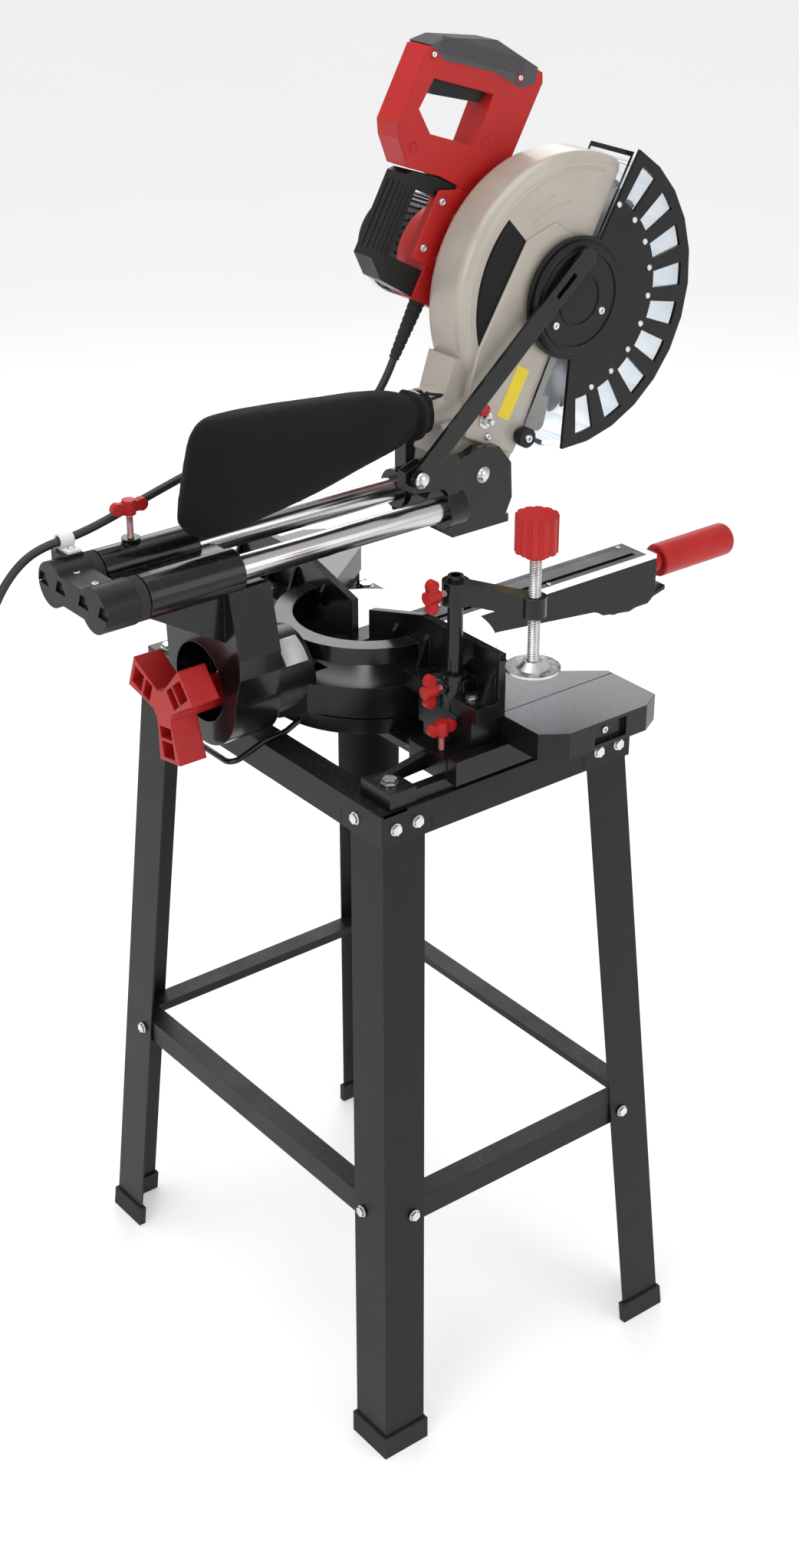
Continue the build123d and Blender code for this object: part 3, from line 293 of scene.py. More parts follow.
# ------------------------------------------------------------------- shaders
class Tree:
    """Adds nodes to a shader tree and joins their sockets."""

    def __init__(self, tree: bpy.types.NodeTree) -> None:
        """Keeps the tree to add to."""
        self.tree = tree

    def feed(self, socket: Socket, value: object) -> None:
        """Links a socket to an input, or sets the input's value."""
        if isinstance(value, bpy.types.NodeSocket):
            self.tree.links.new(value, socket)
        else:
            socket.default_value = value

    def add(self, kind: str, inputs: dict[str | int, object] | None = None, **settings: object) -> bpy.types.Node:
        """Adds one node.

        Args:
            kind: Blender's name of the node type.
            inputs: values or sockets for its inputs, by name or number.
            settings: attributes of the node.

        Returns:
            The node.
        """
        node = self.tree.nodes.new(kind)
        for key, value in settings.items():
            setattr(node, key, value)
        for key, value in (inputs or {}).items():
            self.feed(node.inputs[key], value)
        return node

    def maths(self, operation: str, a: object, b: object = 0.0, clamp: bool = False) -> Socket:
        """The result of one Math node."""
        return self.add("ShaderNodeMath", {0: a, 1: b}, operation=operation, use_clamp=clamp).outputs[0]

    def vector(self, operation: str, a: object, b: object) -> Socket:
        """The result of one Vector Math node."""
        return self.add("ShaderNodeVectorMath", {0: a, 1: b}, operation=operation).outputs[0]

    def blend(self, factor: object, a: object, b: object) -> Socket:
        """A colour between a and b."""
        first, second = ((*c, 1.0) if isinstance(c, tuple) else c for c in (a, b))
        inputs = {"Factor": factor, 6: first, 7: second}
        return self.add("ShaderNodeMix", inputs, data_type="RGBA").outputs[2]

    def spread(self, value: object, low: float, high: float, to_low: float, to_high: float) -> Socket:
        """A value mapped from one range to another."""
        inputs = {0: value, 1: low, 2: high, 3: to_low, 4: to_high}
        return self.add("ShaderNodeMapRange", inputs).outputs[0]

    def noise(self, vector: object, scale: object, detail: float = 3.0) -> Socket:
        """The value of a Noise texture."""
        inputs = {"Vector": vector, "Scale": scale, "Detail": detail}
        return self.add("ShaderNodeTexNoise", inputs).outputs["Fac"]


class Effect:
    """A shader node group with named inputs and outputs, built once."""

    made: dict[str, bpy.types.NodeTree] = {}

    def __init__(self, name: str, takes: dict[str, str], gives: dict[str, str]) -> None:
        """Makes the group's sockets.

        Args:
            name: the group's name.
            takes: input names and socket kinds.
            gives: output names and socket kinds.
        """
        self.group = bpy.data.node_groups.new(name, "ShaderNodeTree")
        for where, sockets in (("INPUT", takes), ("OUTPUT", gives)):
            for label, kind in sockets.items():
                self.group.interface.new_socket(label, in_out=where, socket_type="NodeSocket" + kind)
        self.tree = Tree(self.group)
        self.inside = self.tree.add("NodeGroupInput").outputs
        self.outside = self.tree.add("NodeGroupOutput").inputs
        Effect.made[name] = self.group

    def give(self, **results: Socket) -> None:
        """Joins results to the group's outputs."""
        for label, socket in results.items():
            self.tree.feed(self.outside[label], socket)


def build_effects() -> None:
    """Builds the groups that several finishes share: grain, edge wear, brushing, weave and dust."""
    grain = Effect("fine_grain", {"Vector": "Vector", "Size": "Float", "Patch": "Float"},
                   {"Height": "Float", "Tone": "Float"})
    fine = grain.tree.noise(grain.inside["Vector"], grain.tree.maths("DIVIDE", 1.0, grain.inside["Size"]), 2.0)
    broad = grain.tree.noise(grain.inside["Vector"], grain.tree.maths("DIVIDE", 1.0, grain.inside["Patch"]), 4.0)
    grain.give(Height=fine, Tone=grain.tree.spread(broad, 0.3, 0.7, 0.0, 1.0))

    wear = Effect("edge_wear", {"Vector": "Vector", "Radius": "Float", "Amount": "Float"},
                  {"Mask": "Float", "Normal": "Vector"})
    tree = wear.tree
    soft = tree.add("ShaderNodeBevel", {"Radius": wear.inside["Radius"]}, samples=4).outputs[0]
    flat = tree.add("ShaderNodeNewGeometry").outputs["Normal"]
    alike = tree.add("ShaderNodeVectorMath", {0: soft, 1: flat}, operation="DOT_PRODUCT").outputs["Value"]
    edge = tree.spread(alike, 0.995, 0.86, 0.0, 1.0)
    scuffed = tree.spread(tree.noise(wear.inside["Vector"], 140.0, 5.0), 0.48, 0.66, 0.0, 1.0)
    mask = tree.maths("MULTIPLY", tree.maths("MULTIPLY", edge, scuffed), wear.inside["Amount"], True)
    wear.give(Mask=mask, Normal=soft)

    brushed = Effect("brushed", {"Vector": "Vector", "Stretch": "Vector"}, {"Height": "Float", "Tone": "Float"})
    tree = brushed.tree
    stretched = tree.vector("MULTIPLY", brushed.inside["Vector"], brushed.inside["Stretch"])
    lines = tree.noise(stretched, 1.0, 6.0)
    clouds = tree.noise(brushed.inside["Vector"], 22.0, 2.0)
    tone = tree.maths("ADD", tree.maths("MULTIPLY", lines, 0.7), tree.maths("MULTIPLY", clouds, 0.3))
    brushed.give(Height=lines, Tone=tone)

    weave = Effect("weave", {"Vector": "Vector", "Thread": "Float"}, {"Height": "Float", "Tone": "Float"})
    tree = weave.tree
    apart = tree.add("ShaderNodeSeparateXYZ", {0: weave.inside["Vector"]}).outputs
    turn = tree.maths("DIVIDE", 2 * math.pi, weave.inside["Thread"])
    warp = tree.maths("SINE", tree.maths("MULTIPLY", tree.maths("ADD", apart[1], apart[0]), turn))
    weft = tree.maths("SINE", tree.maths("MULTIPLY", tree.maths("SUBTRACT", apart[2], apart[0]), turn))
    worn = tree.noise(weave.inside["Vector"], 30.0, 4.0)
    weave.give(Height=tree.maths("MULTIPLY", warp, weft), Tone=tree.spread(worn, 0.3, 0.7, 0.0, 1.0))

    dust = Effect("dust", {"Vector": "Vector", "Facing": "Vector", "Amount": "Float"}, {"Mask": "Float"})
    tree = dust.tree
    up = tree.add("ShaderNodeSeparateXYZ", {0: dust.inside["Facing"]}).outputs[2]
    lying = tree.spread(up, 0.4, 1.0, 0.0, 1.0)
    specks = tree.spread(tree.noise(dust.inside["Vector"], 260.0, 6.0), 0.52, 0.75, 0.0, 1.0)
    dust.give(Mask=tree.maths("MULTIPLY", tree.maths("MULTIPLY", lying, specks), dust.inside["Amount"], True))


@dataclass(frozen=True)
class Finish:
    """A painted, moulded or plain surface with fine grain, worn edges and a little dust."""

    name: str
    slot: str
    colour: RGB
    tone: RGB
    roughness: tuple[float, float]
    metallic: float = 0.0
    coat: float = 0.0
    grain: float = 0.7 * MM
    patch: float = 40 * MM
    relief: float = 0.02 * MM
    round_edge: float = 0.6 * MM
    worn: RGB = (0.3, 0.3, 0.3)
    wear: float = 0.0
    dust: float = 0.0
    sheen: float = 0.0
    gleam: float = 0.5

    def surface(self, tree: Tree, place: Socket) -> tuple[Socket, Socket]:
        """Height and tone of the surface's own pattern."""
        inputs = {"Vector": place, "Size": self.grain, "Patch": self.patch}
        group = tree.add("ShaderNodeGroup", node_tree=Effect.made["fine_grain"])
        for key, value in inputs.items():
            tree.feed(group.inputs[key], value)
        return group.outputs["Height"], group.outputs["Tone"]

    def paint(self, tree: Tree, place: Socket, tone: Socket) -> Socket:
        """The colour before wear and dust."""
        return tree.blend(tone, self.colour, self.tone)

    def metal(self, tree: Tree, place: Socket) -> object:
        """The metallic value, plain or a mask."""
        return self.metallic

    def material(self) -> bpy.types.Material:
        """The finish as a Blender material, made once."""
        kept = bpy.data.materials.get(self.name)
        if kept:
            return kept
        made = bpy.data.materials.new(self.name)
        made.use_nodes = True
        made.node_tree.nodes.clear()
        tree = Tree(made.node_tree)
        coordinates = tree.add("ShaderNodeTexCoord").outputs
        place = coordinates["Object"]
        height, tone = self.surface(tree, place)
        edge = tree.add("ShaderNodeGroup", node_tree=Effect.made["edge_wear"])
        for key, value in {"Vector": place, "Radius": self.round_edge, "Amount": self.wear}.items():
            tree.feed(edge.inputs[key], value)
        colour = self.paint(tree, place, tone)
        if self.wear:
            colour = tree.blend(edge.outputs["Mask"], colour, self.worn)
        if self.dust:
            lying = tree.add("ShaderNodeGroup", node_tree=Effect.made["dust"])
            for key, value in {"Vector": place, "Facing": coordinates["Normal"], "Amount": self.dust}.items():
                tree.feed(lying.inputs[key], value)
            colour = tree.blend(lying.outputs["Mask"], colour, (0.5, 0.45, 0.38))
        bump = tree.add("ShaderNodeBump", {"Strength": 1.0, "Distance": self.relief, "Height": height,
                                           "Normal": edge.outputs["Normal"]})
        rough = tree.spread(tone, 0.0, 1.0, *self.roughness)
        inputs = {"Base Color": colour, "Roughness": rough, "Metallic": self.metal(tree, place),
                  "Coat Weight": self.coat, "Coat Roughness": 0.08, "Sheen Weight": self.sheen,
                  "Specular IOR Level": self.gleam,
                  "Normal": bump.outputs[0]}
        shader = tree.add("ShaderNodeBsdfPrincipled", inputs)
        tree.add("ShaderNodeOutputMaterial", {0: shader.outputs[0]})
        return made


@dataclass(frozen=True)
class Brushed(Finish):
    """Metal with fine lines along one direction: noise stretched by a different scale on each axis."""

    stretch: RGB = (1500.0, 12.0, 1500.0)

    def surface(self, tree: Tree, place: Socket) -> tuple[Socket, Socket]:
        """Height and tone of the lines."""
        group = tree.add("ShaderNodeGroup", node_tree=Effect.made["brushed"])
        tree.feed(group.inputs["Vector"], place)
        tree.feed(group.inputs["Stretch"], self.stretch)
        return group.outputs["Height"], group.outputs["Tone"]


@dataclass(frozen=True)
class MachinedTop(Finish):
    """A gloss-painted casting whose work face is cut bare: metal where a point faces up at the face's height."""

    level: float = 0.7915
    back: float = 10.0
    turned_about: tuple[float, float] | None = None
    bare: RGB = (0.40, 0.41, 0.43)

    def mask(self, tree: Tree, place: Socket) -> Socket:
        """One on the cut face and nothing elsewhere."""
        apart = tree.add("ShaderNodeSeparateXYZ", {0: place}).outputs
        facing = tree.add("ShaderNodeSeparateXYZ", {0: tree.add("ShaderNodeTexCoord").outputs["Normal"]}).outputs[2]
        high = tree.maths("GREATER_THAN", apart[2], self.level)
        flat = tree.maths("GREATER_THAN", facing, 0.7)
        ahead = tree.maths("LESS_THAN", apart[1], self.back)
        return tree.maths("MULTIPLY", tree.maths("MULTIPLY", high, flat), ahead)

    def surface(self, tree: Tree, place: Socket) -> tuple[Socket, Socket]:
        """Height and tone: lines round a centre on a turned face, along the fence on a milled one."""
        if self.turned_about:
            centre = (*self.turned_about, 0.0)
            away = tree.vector("SUBTRACT", place, centre)
            flat = tree.vector("MULTIPLY", away, (1.0, 1.0, 0.0))
            distance = tree.add("ShaderNodeVectorMath", {0: flat}, operation="LENGTH").outputs["Value"]
            place = tree.add("ShaderNodeCombineXYZ", {0: distance}).outputs[0]
        group = tree.add("ShaderNodeGroup", node_tree=Effect.made["brushed"])
        tree.feed(group.inputs["Vector"], place)
        tree.feed(group.inputs["Stretch"], (900.0, 900.0, 1.0) if self.turned_about else (14.0, 1400.0, 1.0))
        return group.outputs["Height"], group.outputs["Tone"]

    def paint(self, tree: Tree, place: Socket, tone: Socket) -> Socket:
        """Bare metal on the cut face and paint elsewhere."""
        brighter = tuple(min(1.0, 1.35 * c) for c in self.bare)
        metal = tree.blend(tone, self.bare, brighter)
        return tree.blend(self.mask(tree, place), tree.blend(tone, self.colour, self.tone), metal)

    def metal(self, tree: Tree, place: Socket) -> Socket:
        """Metallic on the cut face alone."""
        return self.mask(tree, place)


@dataclass(frozen=True)
class Woven(Finish):
    """Close-woven nylon: warp and weft waves crossed, on the object's own coordinates."""

    thread: float = 0.9 * MM

    def surface(self, tree: Tree, place: Socket) -> tuple[Socket, Socket]:
        """Height and tone of the cloth."""
        group = tree.add("ShaderNodeGroup", node_tree=Effect.made["weave"])
        tree.feed(group.inputs["Vector"], place)
        tree.feed(group.inputs["Thread"], self.thread)
        return group.outputs["Height"], group.outputs["Tone"]


@dataclass(frozen=True)
class Clear(Finish):
    """Clear moulded plastic with faint scratches."""

    def material(self) -> bpy.types.Material:
        """The finish as a Blender material, made once."""
        kept = bpy.data.materials.get(self.name)
        if kept:
            return kept
        made = bpy.data.materials.new(self.name)
        made.use_nodes = True
        made.node_tree.nodes.clear()
        tree = Tree(made.node_tree)
        place = tree.add("ShaderNodeTexCoord").outputs["Object"]
        height, tone = self.surface(tree, place)
        bump = tree.add("ShaderNodeBump", {"Distance": self.relief, "Height": height})
        inputs = {"Base Color": tree.blend(tone, self.colour, self.tone),
                  "Roughness": tree.spread(tone, 0.0, 1.0, *self.roughness), "IOR": 1.3,
                  "Transmission Weight": 1.0, "Metallic": 0.0, "Normal": bump.outputs[0]}
        shader = tree.add("ShaderNodeBsdfPrincipled", inputs)
        tree.add("ShaderNodeOutputMaterial", {0: shader.outputs[0]})
        return made


SATIN_BLACK = Finish("satin_black_steel", "stand_black", (0.009, 0.009, 0.009), (0.014, 0.0135, 0.013),
                     (0.34, 0.44), grain=0.9 * MM, relief=0.03 * MM, worn=(0.12, 0.12, 0.12), wear=0.3, dust=0.05, gleam=0.22)
GLOSS_BLACK = Finish("gloss_black_casting", "painted_black", (0.004, 0.004, 0.0045), (0.007, 0.007, 0.0075),
                     (0.16, 0.26), coat=0.15, grain=1.6 * MM, relief=0.03 * MM, worn=(0.25, 0.25, 0.26), wear=0.35,
                     dust=0.05, round_edge=1.2 * MM, gleam=0.35)
CHAMPAGNE = Finish("champagne_casting", "champagne", (0.43, 0.39, 0.335), (0.48, 0.44, 0.38), (0.34, 0.46),
                   metallic=0.12, coat=0.25, grain=0.8 * MM, relief=0.02 * MM, worn=(0.6, 0.58, 0.55), wear=0.2,
                   round_edge=1.8 * MM)
RED = Finish("red_moulding", "red_plastic", (0.42, 0.010, 0.010), (0.50, 0.014, 0.012), (0.36, 0.5),
             grain=0.45 * MM, relief=0.035 * MM, round_edge=2.4 * MM, dust=0.03, gleam=0.35)
BLACK = Finish("black_moulding", "black_plastic", (0.006, 0.006, 0.0065), (0.010, 0.010, 0.0105), (0.3, 0.44),
               grain=0.4 * MM, relief=0.03 * MM, round_edge=0.8 * MM, worn=(0.06, 0.06, 0.06), wear=0.4, gleam=0.3)
GRIP = Finish("grip_rubber", "grip_rubber", (0.020, 0.020, 0.021), (0.028, 0.028, 0.029), (0.6, 0.78),
              grain=0.3 * MM, relief=0.08 * MM, round_edge=1.8 * MM)
FOOT = Finish("foot_rubber", "foot_rubber", (0.008, 0.008, 0.008), (0.014, 0.014, 0.014), (0.45, 0.65),
              grain=0.5 * MM, relief=0.05 * MM, round_edge=1.2 * MM)
ZINC = Finish("bright_zinc", "zinc", (0.62, 0.63, 0.66), (0.78, 0.78, 0.76), (0.16, 0.34), metallic=1.0,
              grain=0.6 * MM, patch=8 * MM, relief=0.01 * MM, round_edge=0.35 * MM)
CHROME = Brushed("ground_rail", "bright_steel", (0.52, 0.52, 0.54), (0.72, 0.72, 0.73), (0.14, 0.26), metallic=1.0,
                 relief=0.004 * MM)
STEEL = Brushed("ground_steel", "blade_steel", (0.4, 0.4, 0.42), (0.62, 0.62, 0.62), (0.22, 0.38), metallic=1.0,
                relief=0.006 * MM, stretch=(40.0, 700.0, 700.0))
CARBIDE = Finish("carbide_tip", "blade_steel", (0.22, 0.22, 0.23), (0.33, 0.33, 0.34), (0.3, 0.45), metallic=1.0)
BRONZE = Finish("oiled_bronze", "bronze", (0.42, 0.26, 0.12), (0.5, 0.34, 0.17), (0.3, 0.45), metallic=1.0)
CLEAR = Clear("clear_guard", "clear", (0.90, 0.93, 0.95), (0.82, 0.86, 0.9), (0.04, 0.16), grain=3 * MM,
              relief=0.01 * MM)
NYLON = Woven("bag_nylon", "fabric", (0.004, 0.004, 0.0045), (0.009, 0.009, 0.0095), (0.6, 0.8), relief=0.12 * MM,
              round_edge=0.1 * MM, sheen=0.04, gleam=0.15)
SHEATH = Finish("cord_sheath", "cord_black", (0.016, 0.0165, 0.018), (0.026, 0.026, 0.028), (0.38, 0.5),
                grain=0.5 * MM, relief=0.02 * MM, round_edge=0.1 * MM)
WHITE = Finish("white_nylon", "nylon_white", (0.72, 0.72, 0.70), (0.82, 0.82, 0.8), (0.4, 0.55), round_edge=0.6 * MM)
STICKER = Finish("black_sticker", "black_plastic", (0.004, 0.004, 0.004), (0.007, 0.007, 0.007), (0.3, 0.4),
                 gleam=0.2, grain=4 * MM, relief=0.004 * MM, round_edge=0.1 * MM)
YELLOW = Finish("yellow_sticker", "red_plastic", (0.80, 0.60, 0.01), (0.86, 0.66, 0.02), (0.25, 0.35), grain=4 * MM,
                relief=0.004 * MM, round_edge=0.1 * MM)
PAPER = Finish("white_sticker", "nylon_white", (0.74, 0.74, 0.74), (0.82, 0.82, 0.8), (0.3, 0.4), grain=4 * MM,
               relief=0.004 * MM, round_edge=0.1 * MM)


# ----------------------------------------------------------------- making
def piece(name: str, shape: Shape, finish: Finish, body: str, crease: float = 35.0, bevel: float = 0.0,
          replaces: tuple[str, ...] = (), ride: bool = True) -> bpy.types.Object:
    """Puts a surface into the scene as a finished piece.

    Args:
        name: the piece's name.
        shape: its surface.
        finish: its finish.
        body: the body that it moves with.
        crease: angle in degrees past which an edge stays sharp.
        bevel: width of a live bevel on sharp edges, in metres.
        replaces: CAD nodes that it stands for.
        ride: whether it moves with its body; if not, it stays where it is made.

    Returns:
        The object.
    """
    made = bpy.data.objects.new(name, shape.mesh(name, crease))
    bpy.context.scene.collection.objects.link(made)
    made.data.materials.append(finish.material())
    if bevel:
        round_off = made.modifiers.new("round_off", "BEVEL")
        round_off.width = bevel
        round_off.segments = 3
        round_off.limit_method = "ANGLE"
        round_off.angle_limit = math.radians(40)
        round_off.harden_normals = True
    if ride:
        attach(made, body)
    if replaces:
        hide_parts(*replaces)
    log.info("%s: %d faces on %s", name, len(made.data.polygons), body)
    return made


def dress(finish: Finish, *nodes: str) -> None:
    """Gives CAD nodes a finish."""
    for name in nodes:
        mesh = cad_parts[name].data
        mesh.materials.clear()
        mesh.materials.append(finish.material())
        log.info("%s dressed in %s", name, finish.name)


def pan_screw(radius: float) -> Shape:
    """Pan-head screw with a round recess, facing +Z: a domed profile with a dimple, turned."""
    shares = [(0.15, 0), (0.15, 0.3), (0.52, 0.36), (0.6, 0.6), (0.5, 0.85), (0.2, 1.0), (-0.3, 1.0), (-0.3, 0)]
    return turned([(a * radius, r * radius) for a, r in shares], (0, 0, 0), Way.UP.value, 16)


def rivet(radius: float) -> Shape:
    """Domed rivet head facing +Z."""
    shares = [(0.5, 0), (0.46, 0.4), (0.3, 0.8), (0.0, 1.0), (-0.3, 1.0), (-0.3, 0)]
    return turned([(a * radius, r * radius) for a, r in shares], (0, 0, 0), Way.UP.value, 16)


def bar(centres: Array, half: tuple[float, float, float], axes: Array) -> Shape:
    """Blocks of one size at many places.

    Args:
        centres: one point for each block.
        half: half of its size along each axis.
        axes: its axes as columns.

    Returns:
        All blocks as one surface.
    """
    x, y, z = half
    outline = np.array([(-x, -y, -z), (x, -y, -z), (x, y, -z), (-x, y, -z)])
    return prism(outline, (0, 0, 2 * z)).repeated(centres, axes)


@dataclass
class HeadFrame:
    """The head's own level axes: s forward of the pivot, h above it, both turned up with the head."""

    tip_up: float = math.radians(60.7)
    hub_s: float = 193 * MM
    hub_h: float = -29.3 * MM

    def __post_init__(self) -> None:
        """Takes the pivot from the pin's box."""
        low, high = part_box("pivot_pin")
        self.pivot = np.array((low + high) / 2)
        cos, sin = math.cos(self.tip_up), math.sin(self.tip_up)
        self.forward = np.array([0, -cos, sin])
        self.above = np.array([0, sin, cos])

    def place(self, x: Array | float, s: Array | float, h: Array | float) -> Array:
        """Points of the level head in the row frame: x across, plus s and h along the head's own axes."""
        x, s, h = np.broadcast_arrays(x, s, h)
        base = np.array([0.0, self.pivot[1], self.pivot[2]])
        across = x[..., None] * np.array([1.0, 0, 0])
        return base + across + s[..., None] * self.forward + h[..., None] * self.above

    def round_hub(self, x: Array | float, r: Array | float, degrees: Array | float) -> Array:
        """Points about the blade's centre; degrees run from the rear over the top to the front."""
        a = np.radians(degrees)
        return self.place(x, self.hub_s - r * np.cos(a), self.hub_h + r * np.sin(a))

    @property
    def axes(self) -> Array:
        """Forward, above and leftward as columns."""
        return np.stack([self.forward, self.above, np.array([-1.0, 0, 0])], axis=1)


# -------------------------------------------------------------------- stage
@dataclass
class Studio:
    """Floor, lights and camera."""

    eye: tuple[float, float, float] = (-1.6577, 1.3423, 1.7553)
    right: tuple[float, float, float] = (-0.61526, -0.78833, 0.0)
    up: tuple[float, float, float] = (0.37602, -0.29346, 0.87891)
    ahead: tuple[float, float, float] = (0.69287, -0.54076, -0.47698)
    lens_mm: float = 52.14
    frame_mm: float = 36.0
    floor_half: float = 40.0

    def set_camera(self) -> None:
        """A camera at the viewing angle, with its frame's height as the sensor's."""
        data = bpy.data.cameras.new("camera")
        data.sensor_fit = "VERTICAL"
        data.sensor_height = self.frame_mm
        data.lens = self.lens_mm
        data.clip_end = 200.0
        seen = bpy.data.objects.new("camera", data)
        turn = Matrix((self.right, self.up, tuple(-c for c in self.ahead))).transposed()
        seen.matrix_world = Matrix.Translation(self.eye) @ turn.to_4x4()
        bpy.context.scene.collection.objects.link(seen)
        bpy.context.scene.camera = seen

    def lay_floor(self) -> None:
        """A pale floor, flat and wide."""
        w = self.floor_half
        shape = Shape(np.array([(-w, -w, 0), (w, -w, 0), (w, w, 0), (-w, w, 0)], float), [np.arange(4)[None]])
        floor = bpy.data.objects.new("floor", shape.mesh("floor", 30))
        bpy.context.scene.collection.objects.link(floor)
        pale = bpy.data.materials.new("pale_floor")
        pale.use_nodes = True
        tree = Tree(pale.node_tree)
        shader = pale.node_tree.nodes["Principled BSDF"]
        place = tree.add("ShaderNodeTexCoord").outputs["Object"]
        cloud = tree.noise(place, 1.5)
        tree.feed(shader.inputs["Base Color"], tree.blend(cloud, (0.80, 0.80, 0.80), (0.83, 0.83, 0.83)))
        tree.feed(shader.inputs["Roughness"], tree.spread(cloud, 0.0, 1.0, 0.5, 0.6))
        shader.inputs["Specular IOR Level"].default_value = 0.15
        shader.inputs["Emission Color"].default_value = (1.0, 1.0, 1.0, 1.0)
        shader.inputs["Emission Strength"].default_value = 0.35
        floor.data.materials.append(pale)

    def light(self) -> None:
        """Soft light from all round, with a wide lamp above and one on each side."""
        scene = bpy.context.scene
        scene.view_settings.view_transform = "Standard"
        world = bpy.data.worlds.new("room")
        scene.world = world
        world.use_nodes = True
        glow = world.node_tree.nodes["Background"]
        glow.inputs[0].default_value = (1.0, 1.0, 1.0, 1.0)
        glow.inputs[1].default_value = 0.62
        target = Vector((0, 0, 0.8))
        for name, at, size, power in (("above", (0.2, 0.4, 3.4), 2.6, 34), ("key", (-1.2, 2.9, 2.4), 1.6, 22),
                                      ("side", (-3.0, -0.9, 1.8), 1.8, 16), ("behind", (2.2, -1.6, 2.2), 1.6, 18)):
            data = bpy.data.lights.new(name, "AREA")
            data.shape = "SQUARE"
            data.size = size
            data.energy = power
            lamp = bpy.data.objects.new(name, data)
            lamp.location = at
            lamp.rotation_euler = (target - Vector(at)).to_track_quat("-Z", "Y").to_euler()
            scene.collection.objects.link(lamp)


